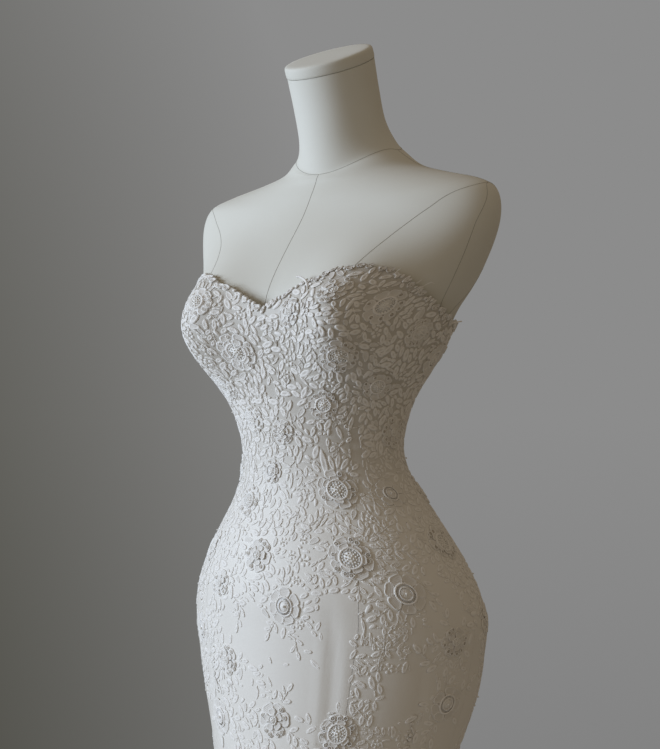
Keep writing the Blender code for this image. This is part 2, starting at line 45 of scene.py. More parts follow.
# The body the dress is cut for, as level sections in millimetres.
# Columns: height, half width, side y, front y, back y, depth of the flutes.
sections = np.array([
    (1325, 211, 18, -66, 106, 0), (1300, 200, 13, -86, 110, 0), (1270, 183, 8, -106, 110, 0),
    (1240, 160, 1, -117, 106, 0), (1205, 143, -7, -116, 99, 0), (1170, 126, -17, -111, 84, 0),
    (1140, 110, -25, -106, 67, 0), (1110, 101, -27, -102, 56, 0), (1080, 97, -24, -98, 51, 0),
    (1050, 101, -18, -95, 60, 0), (1020, 117, -12, -97, 78, 0), (985, 140, -7, -108, 94, 0),
    (950, 162, -2, -116, 110, 0), (915, 177, 2, -120, 124, 0), (880, 183, 6, -119, 131, 0),
    (845, 178, 7, -118, 134, 0), (800, 169, 7, -117, 132, 0), (760, 157, 3, -116, 121, 0),
    (720, 145, -3, -116, 109, 0), (650, 133, -3, -114, 104, 0), (590, 127, -3, -112, 103, 0),
    (540, 128, -2, -114, 107, 1), (500, 134, -1, -121, 116, 3), (440, 153, 0, -141, 138, 7),
    (370, 186, 0, -175, 173, 12), (290, 235, 0, -226, 225, 18), (200, 300, 0, -292, 292, 25),
    (100, 377, 0, -371, 371, 31), (8, 450, 0, -446, 446, 36),
], float) * mm

# Shoulders and neck of the form, from the armhole up to the cap.
# Columns: side x, side y, side z, front y, front z, back y, back z.
yoke = np.array([
    (211, 18, 1325, -66, 1325, 106, 1325), (215, 19, 1350, -55, 1343, 103, 1352),
    (204, 24, 1373, -47, 1359, 98, 1373), (176, 36, 1386, -42, 1371, 93, 1389),
    (130, 41, 1397, -36, 1384, 88, 1407), (94, 40, 1407, -34, 1391, 87, 1420),
    (75, 32, 1419, -32, 1395, 84, 1437), (61, 24, 1433, -30, 1400, 78, 1450),
    (53, 14, 1456, -34, 1424, 61, 1477), (52, 3, 1490, -44, 1463, 49, 1513),
    (52, -8, 1524, -57, 1503, 41, 1545),
], float) * mm

bust = {"apart": 0.092, "height": 1.216, "above": 0.066, "below": 0.061,
        "inward": 0.047, "outward": 0.050, "depth": 0.046, "splay": 0.30}

dress = {
    "thickness": 0.0020, "flareThickness": 0.0016, "shell": 0.0012,
    "clearance": 0.0034, "waistClearance": 0.0019, "waist": 1.080, "grip": 0.034,
    "notchStandOff": 0.009, "notchSpread": 15.0,
    "knee": 0.560, "hem": 0.008, "flutes": 14, "seamGap": 0.0003,
    "scallopPitch": 10.0, "scallopRise": 0.004,
}

# Top edge of the dress: angle in degrees, height in metres.
topEdge = np.array([
    (0, 1.235), (6, 1.243), (12, 1.254), (20, 1.266), (30, 1.278), (38, 1.278), (48, 1.272),
    (62, 1.255), (80, 1.236), (100, 1.222), (130, 1.218), (180, 1.220),
])

# Where the seams run: height, then the angle of the front princess, side and back princess seam.
seamLines = np.array([
    (1.300, 45, 94, 140), (1.235, 43, 94, 140), (1.160, 46, 94, 139), (1.080, 51, 94, 137),
    (1.000, 44, 94, 139), (0.930, 38, 93, 141), (0.860, 35, 92, 141), (0.560, 33, 92, 140),
    (0.008, 30, 92, 138),
])

# Large roses: angle, height in mm, diameter in mm, kind.
frontRoses = [
    (55, 1236, 42, "eyelet"), (32, 1253, 34, "open"), (14, 1230, 30, "open"), (42, 1180, 40, "cup"),
    (33, 1128, 30, "eyelet"), (-15, 1188, 40, "cup"), (-27, 1247, 34, "eyelet"), (-47, 1218, 40, "open"),
    (-38, 1150, 32, "cup"), (4, 1098, 25, "open"), (-20, 1112, 28, "open"), (-7, 1054, 25, "cup"),
    (37, 1034, 40, "cup"), (-24, 1020, 32, "eyelet"), (-58, 1056, 30, "open"), (37, 960, 44, "cup"),
    (57, 922, 40, "ringed"), (8, 905, 36, "ringed"), (-6, 960, 34, "open"), (-26, 925, 28, "open"),
    (-47, 965, 36, "cup"), (-42, 868, 34, "ringed"), (-21, 838, 30, "open"), (31, 768, 38, "cup"),
    (3, 778, 36, "open"), (-31, 770, 36, "ringed"), (16, 662, 34, "cup"), (-18, 642, 34, "open"),
    (46, 690, 34, "ringed"), (-48, 680, 34, "cup"),
]
sideRoses = [
    (78, 1208, 32, "cup"), (67, 1148, 30, "eyelet"), (72, 1030, 30, "ringed"), (90, 1098, 32, "open"),
    (104, 1180, 36, "ringed"), (93, 975, 38, "cup"), (78, 868, 30, "open"), (79, 798, 36, "ringed"),
    (108, 890, 36, "open"), (76, 640, 34, "open"), (103, 720, 34, "cup"), (118, 1032, 34, "eyelet"),
]
backRoses = [
    (130, 1190, 36, "cup"), (158, 1194, 34, "open"), (140, 1105, 30, "eyelet"), (160, 1040, 34, "ringed"),
    (142, 970, 38, "cup"), (166, 952, 32, "open"), (130, 830, 36, "open"), (156, 862, 38, "ringed"),
    (146, 738, 36, "cup"), (168, 700, 32, "open"), (128, 640, 34, "ringed"), (158, 618, 34, "open"),
]


# Surface of the body and the dress

def curveThrough(x, y, at):
    # a smooth curve through (x, y): each stretch is a cubic whose end slopes are weighted means
    order = np.argsort(x)
    x, y = x[order], y[order]
    step = np.diff(x)
    slope = np.diff(y) / step
    inner = (slope[:-1] * step[1:] + slope[1:] * step[:-1]) / (step[1:] + step[:-1])
    tangent = np.concatenate([slope[:1], inner, slope[-1:]])
    i = np.clip(np.searchsorted(x, at) - 1, 0, len(x) - 2)
    t = np.clip((at - x[i]) / step[i], 0, 1)
    mixed = y[i] + (y[i + 1] - y[i]) * t * t * (3 - 2 * t)
    return mixed + step[i] * (tangent[i] * t * (t - 1) ** 2 + tangent[i + 1] * t * t * (t - 1))


def softStep(value):
    t = np.clip(value, 0, 1)
    return t * t * (3 - 2 * t)


def bodyPoint(angle, height, out):
    # half ellipses in front and behind, grown by out, plus the flutes and one mound for each cup
    angle, height, out = np.broadcast_arrays(np.radians(angle), height, out)
    halfWidth, sideY, frontY, backY, flute = (
        curveThrough(sections[:, 0], sections[:, k], height) for k in range(1, 6))
    out = out + flute * (0.8 * np.cos(dress["flutes"] * angle) + 0.2 * np.cos(6 * angle))
    sine, cosine = np.sin(angle), np.cos(angle)
    x = (halfWidth + out) * sine
    depth = np.where(cosine > 0, frontY - out - sideY, backY + out - sideY)
    y = sideY + depth * np.abs(cosine)
    across, up = np.abs(x) - bust["apart"], height - bust["height"]
    wide = np.where(across > 0, bust["outward"], bust["inward"])
    tall = np.where(up > 0, bust["above"], bust["below"])
    forward = bust["depth"] * np.exp(-((across / wide) ** 2) - np.abs(up / tall) ** 2.2)
    forward = forward * softStep((cosine + 0.25) / 0.6)
    return np.stack([x + np.sign(x) * forward * bust["splay"], y - forward, height], -1)


def clothPoint(angle, height, out):
    # a point of the dress, out from the inner face of its cloth
    angle, height = np.broadcast_arrays(np.asarray(angle, float), np.asarray(height, float))
    wrapped = (angle + 180) % 360 - 180
    grip = np.exp(-(((height - dress["waist"]) / dress["grip"]) ** 2))
    notch = np.exp(-((wrapped / dress["notchSpread"]) ** 2)) * softStep((height - 1.165) / 0.06)
    near = dress["clearance"] + (dress["waistClearance"] - dress["clearance"]) * grip
    return bodyPoint(angle, height, near + dress["notchStandOff"] * notch + out)


def topHeight(angle):
    turn = np.abs((np.asarray(angle, float) + 180) % 360 - 180)
    edge = curveThrough(topEdge[:, 0], topEdge[:, 1], turn)
    return edge + dress["scallopRise"] * np.abs(np.sin(np.pi * turn / dress["scallopPitch"])) ** 0.7


def seamAngle(column, height):
    return curveThrough(seamLines[:, 0], seamLines[:, column], height)


def clothScale(angle, height):
    # metres of cloth to a degree round, and to a metre of height, by small steps either way
    round1 = clothPoint(angle + 1, height, dress["thickness"]) - clothPoint(angle - 1, height, dress["thickness"])
    up1 = clothPoint(angle, height + mm, dress["thickness"]) - clothPoint(angle, height - mm, dress["thickness"])
    return np.linalg.norm(round1, axis=-1) / 2, np.linalg.norm(up1, axis=-1) / (2 * mm)


# Meshes

def putMesh(name, points, faces, uv=None, materials=(), slots=None):
    # points is (n, 3), faces a list of (m, 3) or (m, 4) index arrays, uv one pair for each point
    mesh = bpy.data.meshes.new(name)
    faces = [np.asarray(f, np.int32) for f in faces if len(f)]
    loops = np.concatenate([f.ravel() for f in faces])
    sizes = np.concatenate([np.full(len(f), f.shape[1], np.int32) for f in faces])
    mesh.vertices.add(len(points))
    mesh.vertices.foreach_set("co", np.asarray(points, np.float32).ravel())
    mesh.loops.add(len(loops))
    mesh.loops.foreach_set("vertex_index", loops)
    mesh.polygons.add(len(sizes))
    mesh.polygons.foreach_set("loop_start", np.concatenate([[0], np.cumsum(sizes)[:-1]]).astype(np.int32))
    if slots is not None:
        mesh.polygons.foreach_set("material_index", np.asarray(slots, np.int32))
    mesh.update(calc_edges=True)
    if uv is not None:
        layer = mesh.uv_layers.new(name="cloth")
        layer.data.foreach_set("uv", np.asarray(uv, np.float32)[loops].ravel())
    mesh.shade_smooth()
    for material in materials:
        mesh.materials.append(material)
    made = bpy.data.objects.new(name, mesh)
    bpy.context.scene.collection.objects.link(made)
    return made


def gridFaces(rows, columns, wraps=False, start=0):
    # quads of a grid whose points run along each row first
    index = start + np.arange(rows * columns).reshape(rows, columns)
    if wraps:
        index = np.concatenate([index, index[:, :1]], 1)
    return np.stack([index[:-1, :-1], index[:-1, 1:], index[1:, 1:], index[1:, :-1]], -1).reshape(-1, 4)


def sheetWall(outer, inner):
    # a closed wall from two grids of points, rows bottom up and columns to the wearer's left
    rows, columns = outer.shape[:2]
    count = rows * columns
    front = gridFaces(rows, columns)
    back = gridFaces(rows, columns, start=count)[:, ::-1]
    index = np.arange(count).reshape(rows, columns)
    edge = np.concatenate([index[0, :-1], index[:-1, -1], index[-1, :0:-1], index[:0:-1, 0]])
    after = np.roll(edge, -1)
    rim = np.stack([after, edge, edge + count, after + count], -1)
    return np.concatenate([outer.reshape(-1, 3), inner.reshape(-1, 3)]), [front, back, rim]


def lengthOf(line):
    return float(np.linalg.norm(np.diff(line, axis=0), axis=1).sum())


def tubeAlong(line, radius, sides=6):
    # a closed tube: a ring of sides points round each point of the line, pointed at both ends
    line = np.asarray(line, float)
    along = np.gradient(line, axis=0)
    along /= np.linalg.norm(along, axis=1, keepdims=True)
    side = np.cross(along, (0.13, 0.21, 0.97))
    side /= np.linalg.norm(side, axis=1, keepdims=True)
    up = np.cross(side, along)
    turn = np.linspace(0, math.tau, sides, endpoint=False)
    taper = np.minimum(1, np.minimum(np.arange(len(line)), np.arange(len(line))[::-1]) + 0.25)
    ring = radius * taper[:, None, None] * (
        side[:, None] * np.cos(turn)[None, :, None] + up[:, None] * np.sin(turn)[None, :, None])
    points = (line[:, None] + ring).reshape(-1, 3)
    walls = gridFaces(len(line), sides, wraps=True)[:, ::-1]
    first, last = len(points), len(points) + 1
    k = np.arange(sides)
    caps = np.concatenate([
        np.stack([np.full(sides, first), k, (k + 1) % sides], -1),
        np.stack([np.full(sides, last), len(points) - sides + (k + 1) % sides, len(points) - sides + k], -1)])
    return np.concatenate([points, line[:1], line[-1:]]), [walls, caps]


def joined(parts):
    # many (points, faces) as one
    points, faces, start = [], [], 0
    for somePoints, someFaces in parts:
        points.append(somePoints)
        faces += [f + start for f in someFaces]
        start += len(somePoints)
    return np.concatenate(points), faces


# Materials

def linear(hexColour):
    # sRGB hex to linear light
    parts = [int(hexColour[k:k + 2], 16) / 255 for k in (0, 2, 4)]
    return tuple(p / 12.92 if p <= 0.04045 else ((p + 0.055) / 1.055) ** 2.4 for p in parts) + (1.0,)


def node(tree, kind, settings=None, **links):
    # adds one node; a link named Socket_Name takes another node's output, a plain value sets the socket
    made = tree.nodes.new(kind)
    for key, value in (settings or {}).items():
        setattr(made, key, value)
    for key, value in links.items():
        socket = made.inputs[int(key[1:])] if key[0] == "i" and key[1:].isdigit() else made.inputs[key.replace("_", " ")]
        if isinstance(value, bpy.types.NodeSocket):
            tree.links.new(value, socket)
        else:
            socket.default_value = value
    return made


def newMaterial(name, **surface):
    material = bpy.data.materials.new(name)
    material.use_nodes = True
    tree = material.node_tree
    shader = tree.nodes["Principled BSDF"]
    for key, value in surface.items():
        shader.inputs[key.replace("_", " ")].default_value = value
    return material, tree, shader


def cordedLaceMaterial():
    # viscose cord stitched on net: bright, matt, with stitches 0.8 mm apart across every leaf and petal; each piece is
    # painted darker towards its foot, painted shade in the gaps between the pieces
    look = {"cord": "f6f4f1", "paintedFootShade": "c8c3ba", "crestTo": 0.75, "stitchMm": 0.9, "grainMm": 0.5}
    material, tree, shader = newMaterial("corded_viscose_lace", Roughness=0.62, Sheen_Weight=0.25,
                                         Sheen_Roughness=0.5, Subsurface_Weight=0.0)
    where = node(tree, "ShaderNodeTexCoord")
    stitches = node(tree, "ShaderNodeTexWave", {"wave_type": "BANDS", "bands_direction": "X"},
                    Vector=where.outputs["UV"], Scale=1000 / look["stitchMm"] / 20 * 3.14,
                    Distortion=1.5, Detail=1.0, Detail_Scale=1.0)
    grain = node(tree, "ShaderNodeTexNoise", None, Vector=where.outputs["Object"],
                 Scale=1000 / look["grainMm"] / 2, Detail=2.0)
    both = node(tree, "ShaderNodeMath", {"operation": "ADD"}, i0=stitches.outputs["Fac"], i1=grain.outputs["Fac"])
    bump = node(tree, "ShaderNodeBump", None, Height=both.outputs[0], Distance=0.25 * mm, Strength=0.5)
    # painted shade: crest runs from 0 at the foot of a piece to 1 on its top, and the colour runs from the darker shade
    # at the foot to the bright cord
    crest = node(tree, "ShaderNodeAttribute", {"attribute_name": "crest"})
    height = node(tree, "ShaderNodeMapRange", None, Value=crest.outputs["Fac"])
    height.inputs["From Max"].default_value = look["crestTo"]
    tint = node(tree, "ShaderNodeTexNoise", None, Vector=where.outputs["Object"], Scale=38.0, Detail=3.0)
    worn = node(tree, "ShaderNodeMapRange", None, Value=tint.outputs["Fac"])
    worn.inputs["To Min"].default_value = 0.80
    amount = node(tree, "ShaderNodeMath", {"operation": "MULTIPLY"}, i0=height.outputs[0], i1=worn.outputs[0])
    colour = node(tree, "ShaderNodeMix", {"data_type": "RGBA"}, i0=amount.outputs[0])
    colour.inputs[6].default_value = linear(look["paintedFootShade"])
    colour.inputs[7].default_value = linear(look["cord"])
    tree.links.new(colour.outputs[2], shader.inputs["Base Color"])
    tree.links.new(bump.outputs["Normal"], shader.inputs["Normal"])
    return material


def satinMaterial():
    # ivory duchesse satin under fine net: a low sheen, net holes 1.6 mm across; from 1.00 m to 1.15 m up the ground is
    # painted darker, painted shade under the dense lace of the bodice
    look = {"satin": "e8e5df", "net": "ecebe7", "shaded": "c3beb5", "from": 1.00, "to": 1.15, "netMm": 1.6}
    material, tree, shader = newMaterial("duchesse_satin_under_net", Roughness=0.5, Sheen_Weight=0.3,
                                         Sheen_Roughness=0.4)
    where = node(tree, "ShaderNodeTexCoord")
    net = node(tree, "ShaderNodeTexVoronoi", {"feature": "DISTANCE_TO_EDGE", "voronoi_dimensions": "2D"},
               Vector=where.outputs["UV"], Scale=1000 / look["netMm"], Randomness=0.35)
    threads = node(tree, "ShaderNodeMapRange", None, Value=net.outputs["Distance"])
    threads.inputs["From Max"].default_value = 0.16
    threads.inputs["To Min"].default_value = 1.0
    threads.inputs["To Max"].default_value = 0.0
    cloudy = node(tree, "ShaderNodeTexNoise", None, Vector=where.outputs["Object"], Scale=14.0, Detail=4.0)
    amount = node(tree, "ShaderNodeMath", {"operation": "MULTIPLY"}, i0=threads.outputs[0], i1=cloudy.outputs["Fac"])
    colour = node(tree, "ShaderNodeMix", {"data_type": "RGBA"}, i0=amount.outputs[0])
    split = node(tree, "ShaderNodeSeparateXYZ", None, Vector=where.outputs["Object"])
    # painted shade: the ground turns to the shaded colour with height, for the shade in the gaps of the bodice lace
    climb = node(tree, "ShaderNodeMapRange", None, Value=split.outputs["Z"])
    climb.inputs["From Min"].default_value = look["from"]
    climb.inputs["From Max"].default_value = look["to"]
    ground = node(tree, "ShaderNodeMix", {"data_type": "RGBA"}, i0=climb.outputs[0])
    ground.inputs[6].default_value = linear(look["satin"])
    ground.inputs[7].default_value = linear(look["shaded"])
    tree.links.new(ground.outputs[2], colour.inputs[6])
    colour.inputs[7].default_value = linear(look["net"])
    bump = node(tree, "ShaderNodeBump", None, Height=threads.outputs[0], Distance=0.12 * mm, Strength=0.35)
    tree.links.new(colour.outputs[2], shader.inputs["Base Color"])
    tree.links.new(bump.outputs["Normal"], shader.inputs["Normal"])
    return material


def formCoverMaterial():
    # ivory jersey stretched over a padded form: matt, 0.7 mm knit, faint handling marks
    look = {"cover": "e3e3dc", "worn": "d8d6cc", "knitMm": 0.7}
    material, tree, shader = newMaterial("ivory_jersey_cover", Roughness=0.78, Sheen_Weight=0.15,
                                         Sheen_Roughness=0.5)
    where = node(tree, "ShaderNodeTexCoord")
    knit = node(tree, "ShaderNodeTexNoise", None, Vector=where.outputs["Object"],
                Scale=1000 / look["knitMm"] / 2, Detail=1.0)
    bump = node(tree, "ShaderNodeBump", None, Height=knit.outputs["Fac"], Distance=0.15 * mm, Strength=0.3)
    marks = node(tree, "ShaderNodeTexNoise", None, Vector=where.outputs["Object"], Scale=9.0, Detail=4.0)
    colour = node(tree, "ShaderNodeMix", {"data_type": "RGBA"}, i0=marks.outputs["Fac"])
    colour.inputs[6].default_value = linear(look["cover"])
    colour.inputs[7].default_value = linear(look["worn"])
    tree.links.new(colour.outputs[2], shader.inputs["Base Color"])
    tree.links.new(bump.outputs["Normal"], shader.inputs["Normal"])
    return material


def plainMaterial(name, hexColour, grainMm, depthMm, **surface):
    # one colour with a fine grain
    material, tree, shader = newMaterial(name, **surface)
    where = node(tree, "ShaderNodeTexCoord")
    grain = node(tree, "ShaderNodeTexNoise", None, Vector=where.outputs["Object"], Scale=500 / grainMm, Detail=2.0)
    bump = node(tree, "ShaderNodeBump", None, Height=grain.outputs["Fac"], Distance=depthMm * mm, Strength=0.4)
    shader.inputs["Base Color"].default_value = linear(hexColour)
    tree.links.new(bump.outputs["Normal"], shader.inputs["Normal"])
    return material


laceThread = cordedLaceMaterial()
satin = satinMaterial()
jersey = formCoverMaterial()
# the eyelet holes are discs of nude net, painted darker with the shade that falls into the holes
netShade = plainMaterial("nude_net_with_painted_shade_in_the_eyelets", "c6bfb4", 0.5, 0.1, Roughness=0.9)
pearl = plainMaterial("pearl_glass_bead", "efede8", 2.0, 0.01, Roughness=0.36)
seamThread = plainMaterial("twisted_polyester_seam", "a3a197", 0.6, 0.1, Roughness=0.85)
paintedSteel = plainMaterial("satin_painted_steel", "d8d6d0", 0.8, 0.05, Roughness=0.35)
nickel = plainMaterial("brushed_nickel", "c9c4ba", 0.4, 0.02, Roughness=0.28, Metallic=1.0)
print("materials made")


# The dress form

form = {"bottom": 0.780, "sides": 160, "torsoRows": 84, "stepsPerYokeRing": 7, "seamRadius": 0.0003, "neckBase": 1.66}


def formPoint(angle, level):
    # level 0 to 1 climbs the torso to the armhole, and 1 to 2 goes over the shoulder to the neck's end
    angle, level = np.broadcast_arrays(np.asarray(angle, float), np.asarray(level, float))
    low = bodyPoint(angle, form["bottom"] + (yoke[0, 2] - form["bottom"]) * np.clip(level, 0, 1), 0.0)
    ring = np.clip(level - 1, 0, 1) * (len(yoke) - 1)
    steps = np.arange(len(yoke), dtype=float)
    sideX, sideY, sideZ, frontY, frontZ, backY, backZ = (curveThrough(steps, yoke[:, k], ring) for k in range(7))
    sine, cosine = np.sin(np.radians(angle)), np.cos(np.radians(angle))
    dip = 1 + np.clip((len(yoke) - 1 - ring) / 3, 0, 1)
    y = sideY + (np.where(cosine > 0, frontY, backY) - sideY) * np.abs(cosine)
    z = sideZ + (np.where(cosine > 0, frontZ, backZ) - sideZ) * np.abs(cosine) ** dip
    high = np.stack([sideX * sine, y, z], -1)
    return np.where((level > 1)[..., None], high, low)


def formGrid():
    # rows of points up the form, eased together where the torso meets the shoulders
    angles = np.linspace(0, 360, form["sides"], endpoint=False)
    levels = np.concatenate([np.linspace(0, 1, form["torsoRows"]),
                             1 + np.linspace(0, 1, form["stepsPerYokeRing"] * (len(yoke) - 1))[1:]])
    grid = formPoint(angles[None, :], levels[:, None])
    away = (np.arange(len(levels)) - form["torsoRows"]) / 9
    share = (0.5 * np.exp(-away ** 4))[1:-1, None, None]
    for _ in range(40):
        grid[1:-1] += share * ((grid[2:] + grid[:-2]) / 2 - grid[1:-1])
    return levels, grid


def onForm(levels, grid, angle, level):
    # a point of the form, read between four points of its grid
    column = (np.asarray(angle, float) % 360) / 360 * grid.shape[1]
    row = np.clip(np.interp(level, levels, np.arange(len(levels))), 0, len(levels) - 1.001)
    c, r = column.astype(int), row.astype(int)
    s, t = (column - c)[:, None], (row - r)[:, None]
    c, after = c % grid.shape[1], (c + 1) % grid.shape[1]
    low = grid[r, c] * (1 - s) + grid[r, after] * s
    high = grid[r + 1, c] * (1 - s) + grid[r + 1, after] * s
    return low * (1 - t) + high * t


def makeForm(grid):
    rows, columns = grid.shape[:2]
    points = np.concatenate([grid.reshape(-1, 3), grid[0].mean(0)[None], grid[-1].mean(0)[None]])
    k = np.arange(columns)
    bottom, top = rows * columns, rows * columns + 1
    caps = np.concatenate([np.stack([np.full(columns, bottom), (k + 1) % columns, k], -1),
                           np.stack([np.full(columns, top), top - 1 - columns + k,
                                     top - 1 - columns + (k + 1) % columns], -1)])
    made = putMesh("dress_form", points, [gridFaces(rows, columns, wraps=True), caps], materials=[jersey])
    made.data.set_sharp_from_angle(angle=math.radians(45))
    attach(made, dressBody)
    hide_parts("form_body")
    return made


def makeFormSeams(levels, grid):
    # stitched seams lie half in the cover; each is a curve through a few (angle, level) pairs
    neckBase = form["neckBase"]
    princess = [(92, 1.24), (86, 1.23), (59, 1.177), (46, 1.092), (37, 0.992), (32.5, 0.928), (30, 0.85), (30, 0.78)]
    armhole = [(92, 1.24), (84, 1.21), (79.5, 1.135), (74, 1.034), (76.5, 0.94), (82, 0.864), (92, 0.80)]
    backs = {"princess": [(92, 1.24), (100, 1.23), (122, 1.17), (136, 1.08), (142, 0.97), (143, 0.80)],
             "armhole": [(92, 1.24), (104, 1.20), (112, 1.10), (114, 1.0), (110, 0.90), (92, 0.80)]}
    shoulder = [(92, 1.24), (92, 1.32), (94, 1.45), (98, neckBase)]
    lines = [[(-3.0, 0.72), (-2.4, 0.90), (-1.0, 1.2), (0, neckBase)], [(180, 0.72), (180, neckBase)]]
    for route in (princess, armhole, *backs.values(), shoulder):
        lines += [route, [(-angle, level) for angle, level in route]]
    tubes = []
    for route in lines:
        angle, level = np.array(route, float).T
        along = np.arange(len(route), dtype=float)
        run = np.linspace(0, len(route) - 1, 90)
        spots = onForm(levels, grid, curveThrough(along, angle, run), curveThrough(along, level, run))
        tubes.append(tubeAlong(spots, form["seamRadius"]))
    whole = np.linspace(0, 360, 181)
    tubes.append(tubeAlong(onForm(levels, grid, whole, np.full(181, neckBase)), form["seamRadius"]))
    points, faces = joined(tubes)
    made = putMesh("dress_form_seams", points, faces, materials=[seamThread])
    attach(made, dressBody)


def makeNeckCap():
    # rings of the neck's end, moved along its normal and drawn in over the rounded rim
    angles = np.linspace(0, 360, 128, endpoint=False)
    ring = formPoint(angles, np.full(128, 2.0))
    centre = ring.mean(0)
    lean = ring[64] - ring[0]
    normal = np.array((0.0, -lean[2], lean[1]))
    normal /= np.linalg.norm(normal)
    profile = [(0.3, 0.96), (0.3, 0.985), (0.8, 1.004), (2.0, 1.012), (6.0, 1.014), (10.5, 1.012), (12.4, 1.003),
               (13.6, 0.985), (14.4, 0.95), (14.9, 0.88), (15.3, 0.70), (15.5, 0.40)]
    rings = np.array([centre + (ring - centre) * share + normal * lift * mm for lift, share in profile])
    rows, columns = rings.shape[:2]
    points = np.concatenate([rings.reshape(-1, 3), [centre + normal * 0.3 * mm], [centre + normal * 15.5 * mm]])
    k = np.arange(columns)
    low, high = rows * columns, rows * columns + 1
    caps = np.concatenate([np.stack([np.full(columns, low), (k + 1) % columns, k], -1),
                           np.stack([np.full(columns, high), low - columns + k, low - columns + (k + 1) % columns], -1)])
    made = putMesh("neck_cap", points, [gridFaces(rows, columns, wraps=True), caps], materials=[jersey])
    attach(made, dressBody)
    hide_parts("form_neck_cap")


formLevels, formRows = formGrid()
dressForm = makeForm(formRows)
makeFormSeams(formLevels, formRows)
makeNeckCap()
print("dress form made")


# The panels and flared gores

cloth = {
    "rowStep": 0.0055, "columnStep": 0.0056,
    "flareRows": 84, "flareColumnStep": 0.0100,
    # soft creases of the net: angle, top and foot height, depth in mm, width in degrees
    "creases": [
        (21, 0.905, 0.70, 1.0, 2.0), (25, 0.930, 0.60, -1.3, 2.4), (30, 0.890, 0.64, 0.9, 1.8),
        (-33, 0.860, 0.62, -0.9, 2.0), (-38, 0.905, 0.70, 0.7, 1.7), (62, 0.870, 0.60, -0.9, 1.9),
        (66, 0.840, 0.66, 0.7, 1.6), (-66, 0.880, 0.58, -0.9, 2.1), (113, 0.930, 0.62, -1.0, 2.2),
        (119, 0.860, 0.70, 0.7, 1.7), (-112, 0.900, 0.60, -0.9, 2.0), (-124, 0.850, 0.66, 0.8, 1.8),
        (150, 0.900, 0.58, -0.9, 2.1), (172, 0.840, 0.62, 0.6, 1.8), (-152, 0.930, 0.66, -1.0, 2.2),
        (52, 1.120, 1.02, -0.6, 1.8), (-54, 1.130, 1.03, -0.6, 1.9), (128, 1.140, 1.05, -0.8, 2.2),
        (-131, 1.120, 1.04, -0.8, 2.0), (168, 1.130, 1.04, -0.6, 1.8), (-166, 1.150, 1.06, -0.6, 1.7),
    ],
}


def creaseDepth(angle, height):
    # each crease is a bell across and fades out at its top and foot
    depth = np.zeros(np.broadcast(angle, height).shape)
    for at, top, foot, deep, wide in cloth["creases"]:
        turn = (angle - at - 6 * np.sin((height - foot) * 9) * 0.25 + 180) % 360 - 180
        fade = softStep((top - height) / 0.05) * softStep((height - foot) / 0.09)
        depth = depth + deep * mm * np.exp(-((turn / wide) ** 2)) * fade
    return depth


def flareFolds(angle, height):
    # the flutes are uneven: slow waves shift and deepen them towards the hem
    low = softStep((0.54 - height) / 0.5)
    turn = np.radians(angle)
    slow = 0.0050 * np.sin(3 * turn + 0.7) + 0.0035 * np.sin(5 * turn + 2.1)
    small = 0.0016 * np.sin(27 * turn + 9 * height) + 0.0012 * np.sin(41 * turn - 7 * height)
    return low * (slow + small)


def panelLines(name):
    # the two seams of a panel as functions of height, left one first as seen from outside
    def line(column, sign):
        if column == 4:
            return lambda height: np.full(np.shape(height), 180.0 * sign)
        return lambda height: sign * seamAngle(column, height)
    if name == "front_centre":
        return line(1, -1), line(1, 1)
    near, far = {"side_front": (1, 2), "side_back": (2, 3), "back": (3, 4)}[name.rsplit("_", 1)[0]]
    return (line(near, 1), line(far, 1)) if name.endswith("left") else (line(far, -1), line(near, -1))


panelNames = ["front_centre", "side_front_left", "side_front_right", "side_back_left", "side_back_right",
              "back_left", "back_right"]


def panelGrid(name):
    # angle and height over the panel: rows from the knee to the top edge, columns between its seams
    left, right = panelLines(name)
    rows = int((1.28 - dress["knee"]) / cloth["rowStep"])
    widest = 0.19 if name == "front_centre" else 0.17
    share = np.linspace(0, 1, int(widest / cloth["columnStep"]))[None, :]
    climb = np.linspace(0, 1, rows)[:, None]
    foot = dress["knee"] + dress["seamGap"] / 2
    height = np.full((rows, share.shape[1]), foot)
    for _ in range(6):
        first, last = left(height), right(height)
        gap = dress["seamGap"] / 2 / 0.0025
        angle = first + gap + share * (last - first - 2 * gap)
        height = foot + climb * (topHeight(angle) - foot)
    return angle, height


def clothUv(grid):
    # metres along the cloth from the grid's first corner
    across = np.concatenate([np.zeros_like(grid[:, :1, 0]),
                             np.cumsum(np.linalg.norm(np.diff(grid, axis=1), axis=2), 1)], 1)
    up = np.concatenate([np.zeros_like(grid[:1, :, 0]),
                         np.cumsum(np.linalg.norm(np.diff(grid, axis=0), axis=2), 0)], 0)
    return np.stack([across, up], -1)


def widestLevel(name):
    # the longest level of a fitted panel, from its first to its last point below the top edge
    left, right = panelLines(name)
    levels = np.linspace(dress["knee"], topEdge[:, 1].max(), 80)[:, None]
    angle = left(levels) + np.linspace(0, 1, 60)[None, :] * (right(levels) - left(levels))
    rows = clothPoint(angle, levels, dress["thickness"])
    widest = 0.0
    for row, inside in zip(rows, levels <= topHeight(angle)):
        where = np.flatnonzero(inside)
        if len(where) > 1:
            widest = max(widest, lengthOf(row[where[0]:where[-1] + 1]))
    return widest


